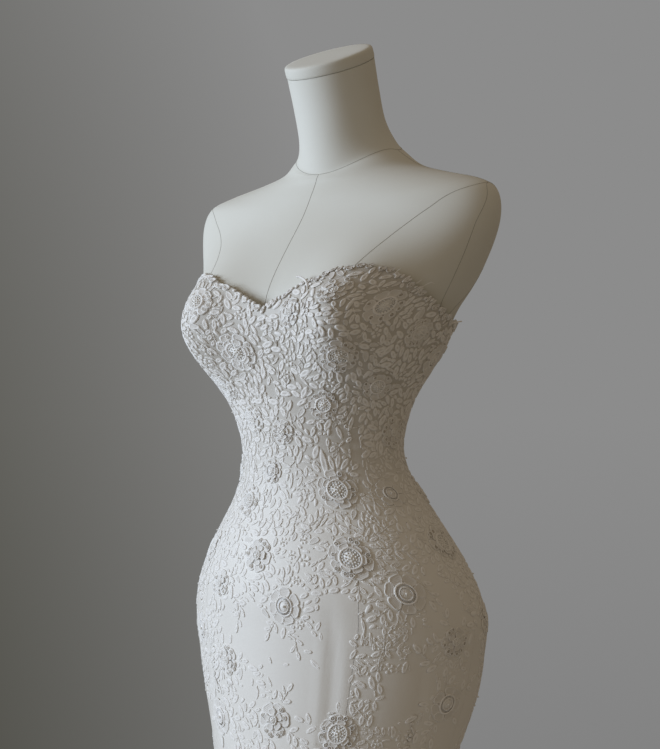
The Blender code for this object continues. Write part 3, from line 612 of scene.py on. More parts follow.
def makePanels():
    for name in panelNames:
        angle, height = panelGrid(name)
        crease = creaseDepth(angle, height)
        outer = clothPoint(angle, height, dress["thickness"] + crease)
        inner = clothPoint(angle, height, dress["thickness"] + crease - dress["shell"])
        points, faces = sheetWall(outer, inner)
        uv = clothUv(outer).reshape(-1, 2)
        made = putMesh("satin_" + name, points, faces, uv=np.concatenate([uv, uv]), materials=[satin])
        made.data.set_sharp_from_angle(angle=math.radians(50))
        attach(made, dressBody)
        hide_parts("panel_" + name)
        # the cut's widest level
        wide = widestLevel(name)

        left, right = panelLines(name)
        tallness = np.linspace(dress["hem"], dress["knee"] - dress["seamGap"] / 2, cloth["flareRows"])
        hemWidth = math.radians(float(right(dress["hem"]) - left(dress["hem"]))) * 0.48
        share = np.linspace(0, 1, int(hemWidth / cloth["flareColumnStep"]))[None, :]
        height = np.repeat(tallness[:, None], share.shape[1], 1)
        first, last = left(height), right(height)
        gap = dress["seamGap"] / 2 / (0.0025 + 0.005 * softStep((0.5 - height) / 0.5))
        angle = first + gap + share * (last - first - 2 * gap)
        lift = dress["flareThickness"] + flareFolds(angle, height)
        outer = clothPoint(angle, height, lift)
        inner = clothPoint(angle, height, lift - dress["shell"])
        points, faces = sheetWall(outer, inner)
        uv = clothUv(outer).reshape(-1, 2)
        made = putMesh("flare_of_" + name, points, faces, uv=np.concatenate([uv, uv]), materials=[satin])
        made.data.set_sharp_from_angle(angle=math.radians(50))
        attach(made, dressBody)
        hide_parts("flare_" + name)
        wide = max(lengthOf(row) for row in outer)


# Lace

lace = {
    "seed": 11, "roseSpread": 1.20, "sink": 0.6, "beadMm": 3.1,
    # lace stands higher over the bust: height, rise in mm
    "rise": [(0.60, 0.50), (1.06, 0.62), (1.15, 1.15)],
    # fill leaves: most tries, length and width in mm
    "fill": [(1600, 17.0, 7.8), (4000, 13.5, 6.6), (6500, 10.5, 5.6), (8500, 8.0, 4.8), (5200, 6.0, 4.0)],
    # the gap kept round each fill leaf, below 0 where they overlap: height, gap in mm
    "gap": [(0.98, 0.60), (1.06, 0.15), (1.14, -1.45)],
    "sprayTries": 520, "blossomTries": 1600, "beadTries": 1800,
    # how much of the cloth the lace covers at each height
    "coverage": [(0.44, 0.0), (0.52, 0.20), (0.62, 0.40), (0.75, 0.52), (0.86, 0.58), (0.93, 0.80), (1.0, 1.0), (1.3, 1.2)],
    # small openings that show the net: height, share of the cloth left covered
    "openings": [(0.44, 0.80), (0.93, 0.84), (1.08, 0.87), (1.16, 0.95), (1.3, 0.97)],
    # patches left bare: angle, height, half width and half height in mm
    "bare": [(29, 0.895, 22, 26), (28, 0.835, 20, 40), (21, 0.790, 13, 30), (55, 1.075, 5, 42), (33, 1.086, 5, 9),
             (62, 0.862, 16, 22), (52, 0.812, 12, 24), (-20, 0.880, 11, 14), (-36, 0.900, 12, 20),
             (78, 0.905, 14, 24), (96, 0.850, 16, 30), (24, 1.112, 7, 12), (-1, 1.150, 10, 13), (13, 1.128, 7, 12),
             (44, 1.096, 9, 9), (3, 0.836, 16, 20), (-9, 0.810, 10, 15)],
    # leaves placed one by one: angle, height, direction in degrees, length, width
    "leaves": [(33, 1.045, 97, 38, 8.6), (38, 1.054, 102, 20, 6.2), (40, 1.056, 76, 22, 6.4), (42, 1.055, 50, 20, 6.2),
               (13, 1.061, 64, 19, 5.6), (19, 1.100, 119, 15, 5.0), (7, 1.033, 80, 21, 5.6), (12, 1.036, 60, 16, 5.0),
               (46, 1.089, 112, 19, 5.6), (50, 1.098, 75, 20, 5.6), (33, 0.849, 62, 15, 6.0), (35, 0.852, 15, 14, 5.4),
               (35, 0.834, -120, 13, 4.8), (36, 0.820, -70, 14, 5.4), (18, 0.848, -40, 17, 6.6), (19, 0.856, 175, 12, 5.0),
               (22, 0.868, 95, 11, 4.6), (40, 0.792, 60, 12, 5.0), (44, 0.806, 20, 12, 4.8), (66, 0.880, -60, 15, 5.4),
               (68, 0.872, -20, 14, 5.0), (63, 0.868, -95, 14, 5.0), (1, 0.848, -68, 9, 3.4), (7, 0.840, 8, 9, 3.4),
               (0, 0.826, -60, 14, 3.6), (7, 0.818, -76, 12, 3.4), (-7, 0.822, -100, 10, 3.4)],
    # sprays placed one by one: angle, height, direction in degrees, pairs, length
    "sprays": [(44, 1.233, -55, 3, 14), (48, 1.190, -80, 2, 13), (26, 1.205, -75, 3, 13), (-22, 1.215, -100, 3, 12),
               (52, 0.985, 30, 3, 13), (66, 0.935, -70, 3, 13), (-12, 0.900, -110, 3, 12), (12, 0.870, -85, 2, 12),
               (38, 0.930, -95, 1, 12), (36, 1.075, 95, 1, 11), (60, 1.165, 60, 2, 12)],
    # loose ends of cord at the top edge: radius in mm, then angle, height and mm out from the cloth
    "looseEnds": [
        (0.30, [(63, 1.2535, 1.5), (64, 1.2590, 3.5), (65.5, 1.2625, 5.0), (67.5, 1.2610, 5.5)]),
        (0.80, [(100, 1.221, 1.5), (104, 1.2225, 5.0), (107, 1.2235, 8.0)]),
        (0.30, [(48, 1.270, 2.0), (48.6, 1.2745, 2.5), (49, 1.2775, 2.5)]),
        (1.30, [(19, 1.258, 1.0), (17, 1.2640, 1.5), (15, 1.2675, 1.5), (13, 1.2700, 1.5), (11.5, 1.2700, 1.5)]),
    ],
}
chance = np.random.default_rng(lace["seed"])


def pillow(outline, centre, rings, crown):
    # a closed low relief: the outline drawn in to each share of its size and raised, over one foot point
    outline = np.asarray(outline, float)
    n = len(outline)
    shells = [np.concatenate([centre + (outline - centre) * share, np.full((n, 1), rise)], 1)
              for share, rise in rings]
    points = np.concatenate([[(*centre, crown)], *shells, [(*centre, -lace["sink"] * 1.2)]])
    k = np.arange(n)
    after = (k + 1) % n
    faces = [np.stack([np.zeros(n, int), 1 + k, 1 + after], -1)]
    for r in range(len(rings) - 1):
        a, b = 1 + r * n, 1 + (r + 1) * n
        faces.append(np.stack([a + k, b + k, b + after], -1))
        faces.append(np.stack([a + k, b + after, a + after], -1))
    last = 1 + (len(rings) - 1) * n
    faces.append(np.stack([np.full(n, len(points) - 1), last + after, last + k], -1))
    return points, np.concatenate(faces)


def ringRelief(sides, inner):
    # a closed cord ring of unit radius: its section runs from the outer foot over the crest to the inner foot
    turn = np.linspace(0, math.tau, sides, endpoint=False)
    section = [(1.0, -lace["sink"]), (0.5 + inner / 2 + 0.18 * (1 - inner), 1.0),
               (0.5 + inner / 2 - 0.22 * (1 - inner), 1.0), (inner, -lace["sink"])]
    rows = np.array([[(r * math.cos(t), r * math.sin(t), h) for r, h in section] for t in turn])
    n = len(section)
    index = np.arange(sides * n).reshape(sides, n)
    a, b = index, np.roll(index, -1, 0)
    c, d = np.roll(b, -1, 1), np.roll(a, -1, 1)
    quads = np.stack([a, b, c, d], -1).reshape(-1, 4)
    return rows.reshape(-1, 3), np.concatenate([quads[:, [0, 1, 2]], quads[:, [0, 2, 3]]])


def discRelief(sides):
    # a thin closed disc of unit radius
    turn = np.linspace(0, math.tau, sides, endpoint=False)
    outline = np.stack([np.cos(turn), np.sin(turn)], -1)
    return pillow(outline, np.zeros(2), [(1.0, 0.15)], 0.15)


def leafRelief(sides):
    # almond of unit length and width: two raised lobes along a sunk vein
    turn = np.linspace(0, math.tau, sides, endpoint=False)
    along = 0.5 - 0.5 * np.cos(turn)
    across = 0.5 * np.sin(turn)
    outline = np.stack([along, across], -1)
    return pillow(outline, np.array((0.5, 0.0)), [(0.34, 0.62), (0.62, 1.0), (0.84, 0.66), (1.0, -lace["sink"])], 0.25)


def petalRelief():
    # a fan from its root at 0 to its lip at 1, with a cord along its edge and a lower middle
    turn = np.linspace(0, math.tau, 16, endpoint=False)
    along = 0.52 - 0.48 * np.cos(turn)
    across = 0.5 * np.sin(turn) * (0.60 + 0.55 * along)
    notch = 1 - 0.07 * np.exp(-((turn - math.pi) / 0.30) ** 2)
    outline = np.stack([along * notch, across], -1)
    return pillow(outline, np.array((0.56, 0.0)), [(0.45, 0.42), (0.74, 0.52), (0.88, 1.0), (1.0, -lace["sink"])], 0.40)


def budRelief():
    # a small plump petal
    turn = np.linspace(0, math.tau, 8, endpoint=False)
    along = 0.5 - 0.5 * np.cos(turn)
    across = 0.5 * np.sin(turn) * (0.75 + 0.45 * along)
    return pillow(np.stack([along, across], -1), np.array((0.56, 0.0)), [(0.62, 0.95), (1.0, -lace["sink"])], 0.75)


def beadRelief():
    # a sphere of unit diameter standing on the cloth: two rings of six between its poles
    turn = np.linspace(0, math.tau, 6, endpoint=False)
    rows = [(0.0, 0.0, 0.95)]
    for level, radius in ((0.72, 0.40), (0.22, 0.46)):
        rows += [(radius * math.cos(t), radius * math.sin(t), level) for t in turn]
    rows += [(0.0, 0.0, -0.2)]
    k = np.arange(6)
    after = (k + 1) % 6
    faces = np.concatenate([
        np.stack([np.zeros(6, int), 1 + k, 1 + after], -1),
        np.stack([1 + k, 7 + k, 7 + after], -1), np.stack([1 + k, 7 + after, 1 + after], -1),
        np.stack([np.full(6, 13), 7 + after, 7 + k], -1)])
    return np.array(rows), faces


shapes = {
    "leaf": leafRelief(10), "leaflet": leafRelief(8), "petal": petalRelief(), "bud": budRelief(), "bead": beadRelief(),
    "cup": ringRelief(16, 0.68), "coil": ringRelief(18, 0.74), "eyelet": ringRelief(8, 0.48), "hole": discRelief(8),
    "base": discRelief(12),
}
slotOf = {"bead": 1, "hole": 2}

# Every piece of lace is a row: kind, angle, height, turn, size along, size across, rise, lift (all mm), bend
laceRows = []


def lay(kind, angle, height, turn, along, across, rise, lift=0.0, bend=0.0):
    laceRows.append((kind, angle, height, turn, along, across, rise, lift, bend))


# A map of the cloth, angle by height, keeps the lace pieces apart
field = {"angleStep": 0.25, "heightStep": 0.5 * mm, "low": 0.43, "high": 1.31, "coarse": 4 * mm}


def makeField():
    angles = np.arange(-180, 180, field["angleStep"]) + field["angleStep"] / 2
    heights = np.arange(field["low"], field["high"], field["heightStep"])
    field["taken"] = np.zeros((len(heights), len(angles)), bool)
    wide, tall = np.meshgrid(np.arange(-180, 180), np.arange(field["low"], field["high"], field["coarse"]))
    perDegree, stretch = clothScale(wide, tall)
    field["perDegree"], field["stretch"] = perDegree / mm, stretch
    angle, height = angles[None, :], heights[:, None]
    wander = (np.sin(np.radians(angle * 5) + height * 15.7) + np.sin(np.radians(angle * 9 + 80) - height * 26.2)
              + np.sin(np.radians(angle * 2.2 + 30) + height * 45.4)) / 6 + 0.5
    levels, shares = np.array(lace["coverage"]).T
    closed = wander > np.interp(heights, levels, shares)[:, None]
    small = np.sin(np.radians(angle * 19) + height * 82) * np.sin(height * 190 - np.radians(angle * 8 - 40))
    levels, shares = np.array(lace["openings"]).T
    closed |= small > np.interp(heights, levels, 2 * shares - 1)[:, None] * 1.0
    for at, level, halfWide, halfTall in lace["bare"]:
        perDegree = scaleAt(at, level)[0]
        closed |= ((angle - at) * perDegree / halfWide) ** 2 + ((height - level) / mm / halfTall) ** 2 < 1
    field["closed"] = closed
    field["above"] = height > topHeight(angle) - 0.5 * mm


def scaleAt(angle, height):
    # mm of cloth to a degree round, and to a mm of height
    row = min(max(int((height - field["low"]) / field["coarse"]), 0), len(field["stretch"]) - 1)
    column = int(angle + 180) % 360
    return field["perDegree"][row, column], field["stretch"][row, column]


def step(angle, height, turn, distance):
    # moves over the cloth by a distance in mm
    perDegree, stretch = scaleAt(angle, height)
    return angle + distance * math.cos(turn) / perDegree, height + distance * mm * math.sin(turn) / stretch


def patch(angle, height, reach):
    # the map's cells within reach of a spot, and how far each lies from it in mm
    perDegree, stretch = scaleAt(angle, height)
    wide = int(reach / perDegree / field["angleStep"]) + 1
    tall = int(reach * mm / stretch / field["heightStep"]) + 1
    column = int((angle + 180) / field["angleStep"])
    row = int((height - field["low"]) / field["heightStep"])
    columns = np.arange(column - wide, column + wide + 1)
    rows = np.arange(max(row - tall, 0), min(row + tall + 1, len(field["taken"])))
    x = ((columns + 0.5) * field["angleStep"] - 180 - angle) * perDegree
    y = (rows * field["heightStep"] + field["low"] - height) * stretch / mm
    return (rows[:, None], columns[None, :] % field["taken"].shape[1]), x[None, :], y[:, None]


def claimDisc(angle, height, radius, margin=0.0, onlyIfFree=False, maps=("taken", "closed", "above")):
    cells, x, y = patch(angle, height, radius + margin)
    distance = np.hypot(x, y)
    if onlyIfFree and any((field[name][cells] & (distance < radius + margin)).any() for name in maps):
        return False
    field["taken"][cells] |= distance < radius
    return True


def claimLeaf(angle, height, turn, length, width, margin=0.0, onlyIfFree=False, maps=("taken", "closed", "above")):
    # the leaf is an almond: half width times the root of 4t(1 - t) at t of its length
    middle = step(angle, height, turn, length / 2)
    cells, x, y = patch(*middle, length / 2 + margin)
    u = x * math.cos(turn) + y * math.sin(turn)
    v = np.abs(y * math.cos(turn) - x * math.sin(turn))
    if onlyIfFree:
        t = np.clip(u / (length + 2 * margin) + 0.5, 0, 1)
        near = v < (width / 2 + margin) * np.sqrt(4 * t * (1 - t))
        if any((field[name][cells] & near).any() for name in maps):
            return False
    t = np.clip(u / length + 0.5, 0, 1)
    field["taken"][cells] |= v < width / 2 * np.sqrt(4 * t * (1 - t))
    return True


def riseAt(height):
    levels, rises = np.array(lace["rise"]).T
    return float(np.interp(height, levels, rises)) * chance.uniform(0.75, 1.3)


def layLeaf(angle, height, turn, length, width, bend=0.0, maps=("taken", "closed", "above"), always=False,
            kind="leaf", gap=0.2):
    if not (claimLeaf(angle, height, turn, length, width, gap, not always, maps) or always):
        return False
    if kind == "leaf" and length < 9:
        kind = "leaflet"
    lay(kind, angle, height, turn, length, width, riseAt(height), chance.uniform(0, 0.3), bend)
    return True


def laySpray(angle, height, turn, pairs, length):
    # a bending stem with leaves in pairs and one at its tip; each leaf is left out where it would not fit
    bendBy = chance.uniform(-0.16, 0.16)
    onLace = ("taken", "above")
    for k in range(pairs):
        long = length * (1 - 0.06 * k)
        for side in (1, -1):
            lean = turn + side * chance.uniform(0.6, 0.85)
            root = step(angle, height, lean, 0.8)
            layLeaf(*root, lean, long, long * chance.uniform(0.43, 0.50), side * 0.10, onLace)
        lay("leaf", angle, height, turn, length * 0.66, 1.8, 0.6, 0.2)
        angle, height = step(angle, height, turn, length * 0.56)
        turn += bendBy
    layLeaf(angle, height, turn, length, length * 0.46, 0.0, onLace)


def layBeads(angle, height, radius, size, lift):
    # one bead in the middle and full rings of them round it
    lay("base", angle, height, 0, radius * 1.12, radius * 1.12, 8.0, lift)
    lay("bead", angle, height, 0, size, size, size * 0.8, lift + 0.5)
    rings = int(radius / size + 0.45)
    for ring in range(1, rings + 1):
        count = int(math.tau * ring / 1.06)
        for k in range(count):
            a, h = step(angle, height, ring + k * math.tau / count, min(ring * size * 1.02, radius * 0.92))
            grow = size * chance.uniform(0.86, 1.04)
            lay("bead", a, h, 0, grow, grow, grow * 0.75, lift + 0.5 - 0.2 * ring)


def layEyelet(angle, height, radius, lift):
    lay("eyelet", angle, height, 0, radius, radius, 1.1, lift)
    # the hole is a disc of nude net with painted shade, set inside the eyelet's cord ring
    lay("hole", angle, height, 0, radius * 0.62, radius * 0.62, 1.0, lift + 0.55)


def layRose(angle, height, diameter, kind):
    # petals from the outside in: count, root and reach as shares of the radius, width, lift in mm
    radius = diameter / 2 * lace["roseSpread"]
    spin = chance.uniform(0, math.tau)
    layers = {"cup": ((8, 0.36, 1.0, 0.74, 0.0), (6, 0.30, 0.70, 0.56, 1.3)),
              "eyelet": ((8, 0.36, 1.0, 0.74, 0.0),),
              "open": ((6, 0.20, 1.0, 0.92, 0.0), (5, 0.16, 0.60, 0.52, 1.2)),
              "ringed": ((7, 0.34, 1.0, 0.84, 0.0),)}[kind]
    for layer, (count, root, reach, width, lift) in enumerate(layers):
        for k in range(count):
            turn = spin + math.tau * (k + 0.5 * layer) / count + chance.normal(0, 0.04)
            a, h = step(angle, height, turn, radius * root)
            lay("petal", a, h, turn, radius * (reach - root) * chance.uniform(0.95, 1.07),
                radius * width * chance.uniform(0.94, 1.04), 0.6 + riseAt(height), lift + 0.35 * (k % 2))
    if kind == "ringed":
        lay("base", angle, height, 0, radius * 0.5, radius * 0.5, 5.0, 0.6)
        for share, lift in ((0.58, 0.7), (0.36, 0.8)):
            lay("coil", angle, height, spin, radius * share, radius * share * 0.95, 1.3, lift)
        lay("bead", angle, height, 0, 3.4, 3.4, 2.6, 1.2)
    if kind == "open":
        lay("cup", angle, height, spin, radius * 0.30, radius * 0.29, 1.8, 1.6)
        layBeads(angle, height, radius * 0.22, 2.3, 1.6)
    if kind in ("cup", "eyelet"):
        lay("cup", angle, height, spin, radius * 0.58, radius * 0.55, 2.3, 0.6)
        layBeads(angle, height, radius * 0.40, lace["beadMm"] * min(1.0, radius / 22), 0.9)
    if kind != "ringed":
        count = layers[0][0]
        for k in range(count):
            for side in (-1, 1):
                if chance.uniform() < (0.55 if kind == "cup" else 0.40):
                    continue
                turn = spin + math.tau * k / count + side * 0.20 + chance.normal(0, 0.05)
                a, h = step(angle, height, turn, radius * chance.uniform(0.70, 0.82))
                layEyelet(a, h, min(3.8, radius * chance.uniform(0.12, 0.18)), 0.9)
    claimDisc(angle, height, radius * 0.97)


def layBlossom(angle, height, radius):
    spin = chance.uniform(0, math.tau)
    for k in range(5):
        turn = spin + k * math.tau / 5
        a, h = step(angle, height, turn, radius * 0.22)
        lay("bud", a, h, turn, radius * 0.80, radius * 0.86, riseAt(height))
    lay("bead", angle, height, 0, 2.2, 2.2, 2.2, 0.6)


def layEdge():
    # lace stands along the top edge in uneven lumps: open petals, leaning leaves and plump buds
    angle = -180.0
    while angle < 180:
        edge = float(topHeight(angle))
        perDegree = scaleAt(angle, edge)[0]
        turn = math.pi / 2 + chance.normal(0, 0.3)
        kind = chance.choice(["petal", "leaf", "leaf", "bud"])
        if kind == "petal":
            wide, tall = chance.uniform(8.5, 11.5), chance.uniform(8.5, 10.5)
            lay("petal", *step(angle, edge, turn, 1.6 - tall), turn, tall, wide, 2.2, chance.uniform(0, 0.3))
            for side in (-1, 1):
                layEyelet(*step(*step(angle, edge, turn, -tall * 0.42), turn + math.pi / 2, side * wide * 0.2), 2.0, 0.9)
            claimDisc(*step(angle, edge, turn, -tall * 0.45), tall * 0.46)
        elif kind == "leaf":
            wide, tall = chance.uniform(4.8, 6.2), chance.uniform(9.5, 13.0)
            turn += chance.choice([-0.55, 0.55])
            root = step(angle, edge, turn, 2.4 - tall)
            lay("leaf", *root, turn, tall, wide, 2.3, chance.uniform(0, 0.3), chance.uniform(-0.2, 0.2))
            claimLeaf(*root, turn, tall, wide)
        else:
            wide = chance.uniform(5.0, 7.0)
            lay("bud", *step(angle, edge, turn, 1.4 - wide), turn, wide, wide * 0.9, 2.3)
            claimDisc(*step(angle, edge, turn, -wide * 0.4), wide * 0.42)
        angle += wide * 0.92 / perDegree


def roomFor(radius):
    # cells at least this far, in mm, from any lace, bare patch or edge: the free map shrunk both ways
    free = ~(field["taken"] | field["closed"] | field["above"])
    tall = max(1, int(radius * mm / field["heightStep"]))
    wide = max(1, int(radius / 2.2 / field["angleStep"]))
    shrunk = free.copy()
    for k in range(1, tall + 1):
        shrunk[k:] &= free[:-k]
        shrunk[:-k] &= free[k:]
    free = shrunk.copy()
    for k in range(1, wide + 1):
        shrunk &= np.roll(free, k, 1) & np.roll(free, -k, 1)
    return np.argwhere(shrunk)


def flowAt(angle, height):
    return math.pi / 2 + 1.1 * math.sin(math.radians(angle * 4) + height * 29.7)


def layFreeSprays():
    # leafy stems wherever the first leaves have room, up or down the flow
    room = roomFor(4.0)
    for row, column in room[chance.permutation(len(room))[:lace["sprayTries"]]]:
        if field["taken"][row, column]:
            continue
        angle = column * field["angleStep"] - 180
        height = row * field["heightStep"] + field["low"]
        turn = flowAt(angle, height) + chance.choice([0, math.pi]) + chance.normal(0, 0.5)
        laySpray(angle, height, turn, int(chance.integers(2, 4)), chance.uniform(11.0, 15.5))


def layFill():
    # leaves follow a winding flow, turned until they fit, in ever smaller sizes
    levels, gaps = np.array(lace["gap"]).T
    for tries, length, width in lace["fill"]:
        for _ in range(2):
            room = roomFor(width * 0.42)
            chosen = room[chance.permutation(len(room))[:tries]]
            for row, column in chosen:
                if field["taken"][row, column]:
                    continue
                angle = column * field["angleStep"] - 180
                height = row * field["heightStep"] + field["low"]
                gap = float(np.interp(height, levels, gaps))
                flow = flowAt(angle, height)
                kind = chance.choice(["leaf", "petal", "bud", "cord"], p=[0.62, 0.14, 0.12, 0.12])
                shape, narrow = ("leaf", 0.45) if kind == "cord" else (kind, 1.0)
                for _ in range(5):
                    turn = flow + chance.normal(0, 0.75)
                    grow = chance.uniform(0.86, 1.12)
                    root = step(angle, height, turn, -length * grow / 2)
                    if layLeaf(*root, turn, length * grow, width * grow * narrow, chance.uniform(-0.3, 0.3),
                               kind=shape, gap=gap):
                        break


def layOutLace():
    makeField()
    roses = [(float(a), h * mm, d, kind) for a, h, d, kind in frontRoses]
    for a, h, d, kind in sideRoses + backRoses:
        roses += [(float(a), h * mm, d, kind), (-float(a), h * mm, d, kind)]
    for rose in roses:
        layRose(*rose)
    layEdge()
    for angle, height, degrees, length, width in lace["leaves"]:
        layLeaf(angle, height, math.radians(degrees), length, width, 0.0, (), True)
    for angle, height, degrees, pairs, length in lace["sprays"]:
        laySpray(angle, height, math.radians(degrees), pairs, length)
    for a, h, d, kind in roses:
        first = chance.uniform(0, math.tau)
        for k in range(5):
            turn = first + k * math.tau / 5 + chance.normal(0, 0.2)
            start = step(a, h, turn, d / 2 * lace["roseSpread"] + 1.0)
            laySpray(*start, turn, int(chance.integers(0, 3)), chance.uniform(12.0, 16.0))
    for angle, height in zip(chance.uniform(-180, 180, lace["blossomTries"]),
                             chance.uniform(0.47, 1.27, lace["blossomTries"])):
        radius = chance.uniform(5.6, 8.0)
        if claimDisc(angle, height, radius * 0.95, 0.3, True):
            layBlossom(angle, height, radius)
    layFreeSprays()
    layFill()
    for angle, height in zip(chance.uniform(-180, 180, lace["beadTries"]),
                             chance.uniform(0.50, 1.28, lace["beadTries"])):
        if claimDisc(angle, height, 1.2, 0.1, True):
            lay("bead", angle, height, 0, 2.2, 2.2, 1.7, 0.1)


def panelOf(angle, height):
    # which panel a spot lies on
    turn = (angle + 180) % 360 - 180
    side = np.where(turn >= 0, "left", "right")
    turn = np.abs(turn)
    front, middle, back = (seamAngle(k, height) for k in (1, 2, 3))
    kind = np.where(turn < middle, "side_front_", np.where(turn < back, "side_back_", "back_"))
    return np.where(turn < front, "front_centre", np.char.add(kind, side))


def makeLace():
    kinds = np.array([row[0] for row in laceRows])
    values = np.array([row[1:] for row in laceRows], float)
    home = panelOf(values[:, 0], values[:, 1])
    perDegree, stretch = clothScale(values[:, 0], values[:, 1])
    laceOf, total = {}, 0
    for name in panelNames:
        points, uvs, crests, faces, slots, start = [], [], [], [], [], 0
        for kind, (shape, triangles) in shapes.items():
            pick = (kinds == kind) & (home == name)
            if not pick.any():
                continue
            angle, height, turn, along, across, rise, lift, bend = (values[pick, k][:, None] for k in range(8))
            u = shape[None, :, 0] * along
            v = shape[None, :, 1] * across + bend * u * u / along
            sideways = u * np.cos(turn) - v * np.sin(turn)
            up = u * np.sin(turn) + v * np.cos(turn)
            out = shape[None, :, 2] * np.where(shape[None, :, 2] < 0, 1, rise) + lift
            placed = clothPoint(angle + sideways * mm / perDegree[pick][:, None],
                                height + up * mm / stretch[pick][:, None], dress["thickness"] + out * mm)
            count, n = placed.shape[:2]
            points.append(placed.reshape(-1, 3))
            uvs.append(np.stack([u * mm + angle * 0.01, v * mm], -1).reshape(-1, 2))
            # crest: how high each point stands in its piece; the lace material paints shade from it towards the foot
            crests.append(np.tile(np.clip(shape[:, 2] / shape[:, 2].max(), 0, 1), count))
            faces.append((triangles[None] + np.arange(count)[:, None, None] * n).reshape(-1, 3) + start)
            slots.append(np.full(count * len(triangles), slotOf.get(kind, 0)))
            start += count * n
        made = putMesh("lace_" + name, np.concatenate(points), [np.concatenate(faces)],
                       uv=np.concatenate(uvs), materials=[laceThread, pearl, netShade], slots=np.concatenate(slots))
        crest = made.data.attributes.new("crest", "FLOAT", "POINT")
        crest.data.foreach_set("value", np.concatenate(crests).astype(np.float32))
        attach(made, dressBody)
        laceOf[name] = [made]
        size = sum(len(f) for f in faces)
        total += size
        print("lace on", name, size, "triangles")
    print("lace in all", total)
    return laceOf


def makeLooseEnds():
    tubes = []
    for radius, route in lace["looseEnds"]:
        along = np.arange(len(route), dtype=float)
        run = np.linspace(0, len(route) - 1, 24)
        angle, height, out = (curveThrough(along, values, run) for values in np.array(route, float).T)
        tubes.append(tubeAlong(clothPoint(angle, height, dress["thickness"] + out * mm), radius * mm))
    points, faces = joined(tubes)
    made = putMesh("loose_cord_ends", points, faces, materials=[laceThread])
    # the loose ends are given full crest, so the lace material paints no shade on them
    crest = made.data.attributes.new("crest", "FLOAT", "POINT")
    crest.data.foreach_set("value", np.ones(len(points), np.float32))
    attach(made, dressBody)


layOutLace()
print("lace laid out:", len(laceRows), "pieces")
laceOf = makeLace()
makePanels()
makeLooseEnds()
print("dress made")


# Stand and zip keep their solids' shapes

def dressNode(name, material):
    solid = bpy.data.objects[name]
    solid.data.materials.clear()
    solid.data.materials.append(material)


for name, material in (("stand_pole", paintedSteel), ("stand_base", paintedSteel),
                       ("zip_slider", nickel), ("zip_pull", nickel)):
    dressNode(name, material)


# Floor, light and camera

view = {
    "azimuth": 38.0, "distance": 2.25, "height": 1.1116, "focalPixels": 1923.0,
    "axisColumn": 335.0, "horizonRow": 420.0, "imageSize": (660, 749), "sensorMm": 36.0,
}

light = {
    # the window stands low on the wearer's right, and a weak card in front softens the edge of the shade
    "window": {"place": (-2.06, -2.19, 1.64), "aim": (0, 0, 1.16), "size": (1.25, 1.45), "watts": 86, "colour": "dcebfd"},
    "card": {"place": (-0.4, -2.6, 1.3), "aim": (0, 0, 1.05), "size": (1.2, 1.2), "watts": 2.5, "colour": "e9f0fa"},
    # the fill is stronger from above and in front: its slope along x, y and z
    "fill": "796f61", "fillSlope": (0.08, -0.14, 0.52),
    # the wall seen by the camera: painted shade makes it darker on the left
    "wallLeft": "57564f", "wallRight": "8c8c8c",
}


def makeFloor():
    turn = np.linspace(0, math.tau, 96, endpoint=False)
    edge = np.stack([1.2 * np.cos(turn), 1.2 * np.sin(turn), np.full(96, -0.0005)], -1)
    k = np.arange(96)
    faces = np.stack([np.full(96, 96), k, (k + 1) % 96], -1)
    floor = putMesh("floor", np.concatenate([edge, [(0, 0, -0.0005)]]), [faces],
                    materials=[plainMaterial("pale_floor", "b8b6b1", 3.0, 0.05, Roughness=0.8)])


def makeLight(name, place, aim, size, watts, colour):
    lamp = bpy.data.lights.new(name, "AREA")
    lamp.shape = "RECTANGLE"
    lamp.size, lamp.size_y = size
    lamp.energy = watts
    lamp.color = linear(colour)[:3]
    made = bpy.data.objects.new(name, lamp)
    made.location = place
    made.rotation_euler = (Vector(aim) - Vector(place)).to_track_quat("-Z", "Y").to_euler()
    bpy.context.scene.collection.objects.link(made)


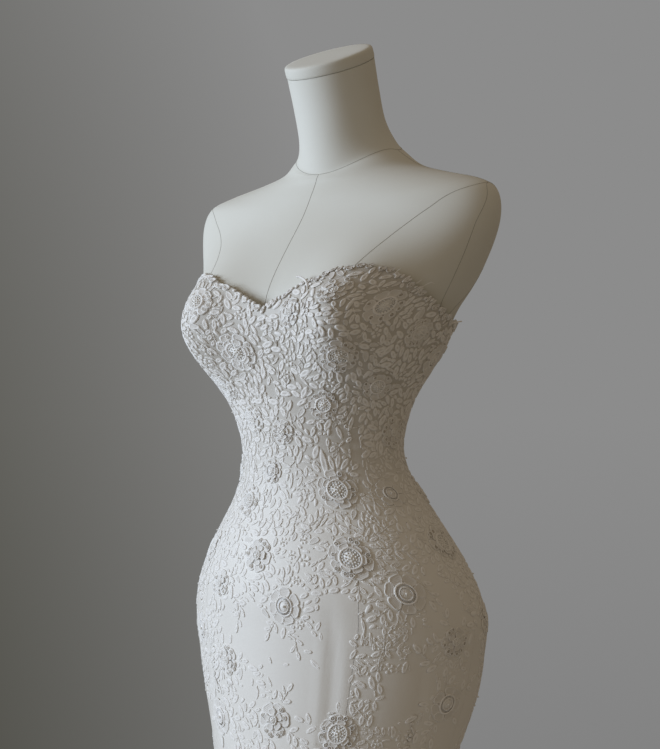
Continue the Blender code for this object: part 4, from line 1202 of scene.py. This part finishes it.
def makeWorld():
    # the camera sees a plain grey wall with painted shade, darker to the left and low down; what lights the shade is
    # warm and dim
    world = bpy.data.worlds.new("studio")
    bpy.context.scene.world = world
    world.use_nodes = True
    tree = world.node_tree
    for old in list(tree.nodes):
        tree.nodes.remove(old)
    path = node(tree, "ShaderNodeLightPath")
    where = node(tree, "ShaderNodeTexCoord")
    split = node(tree, "ShaderNodeSeparateXYZ", None, Vector=where.outputs["Generated"])
    slant = node(tree, "ShaderNodeMath", {"operation": "MULTIPLY_ADD"}, i0=split.outputs["Z"], i1=0.195,
                 i2=split.outputs["X"])
    across = node(tree, "ShaderNodeMapRange", None, Value=slant.outputs[0])
    across.inputs["From Min"].default_value = -0.777
    across.inputs["From Max"].default_value = -0.591
    height = node(tree, "ShaderNodeMapRange", None, Value=split.outputs["Z"])
    height.inputs["From Min"].default_value = -0.20
    height.inputs["From Max"].default_value = 0.0
    height.inputs["To Min"].default_value = 0.84
    height.inputs["To Max"].default_value = 1.0
    wall = node(tree, "ShaderNodeMix", {"data_type": "RGBA"}, i0=across.outputs[0])
    wall.inputs[6].default_value = linear(light["wallLeft"])
    wall.inputs[7].default_value = linear(light["wallRight"])
    seen = node(tree, "ShaderNodeBackground", None, Color=wall.outputs[2], Strength=height.outputs[0])
    slope = node(tree, "ShaderNodeVectorMath", {"operation": "DOT_PRODUCT"}, i0=where.outputs["Generated"],
                 i1=light["fillSlope"])
    strength = node(tree, "ShaderNodeMath", {"operation": "ADD"}, i0=slope.outputs["Value"], i1=0.94)
    fill = node(tree, "ShaderNodeBackground", None, Color=linear(light["fill"]), Strength=strength.outputs[0])
    both = node(tree, "ShaderNodeMixShader", None, i0=path.outputs["Is Camera Ray"],
                i1=fill.outputs[0], i2=seen.outputs[0])
    node(tree, "ShaderNodeOutputWorld", None, Surface=both.outputs[0])


def makeCamera():
    azimuth = math.radians(view["azimuth"])
    away = Vector((math.sin(azimuth), -math.cos(azimuth), 0))
    right = Vector((math.cos(azimuth), math.sin(azimuth), 0))
    columns, rows = view["imageSize"]
    sideways = view["distance"] * (columns / 2 - view["axisColumn"]) / view["focalPixels"]
    upwards = view["distance"] * (view["horizonRow"] - rows / 2) / view["focalPixels"]
    place = away * view["distance"] + Vector((0, 0, view["height"]))
    aim = Vector((0, 0, view["height"] + upwards)) + right * sideways
    data = bpy.data.cameras.new("photo_camera")
    data.sensor_width = view["sensorMm"]
    data.lens = view["focalPixels"] * view["sensorMm"] / rows
    made = bpy.data.objects.new("photo_camera", data)
    made.location = place
    made.rotation_euler = (aim - place).to_track_quat("-Z", "Y").to_euler()
    bpy.context.scene.collection.objects.link(made)
    bpy.context.scene.camera = made


makeFloor()
makeWorld()
makeLight("window", **light["window"])
makeLight("card", **light["card"])
makeCamera()
bpy.context.scene.view_settings.view_transform = "Standard"
print("stage made")
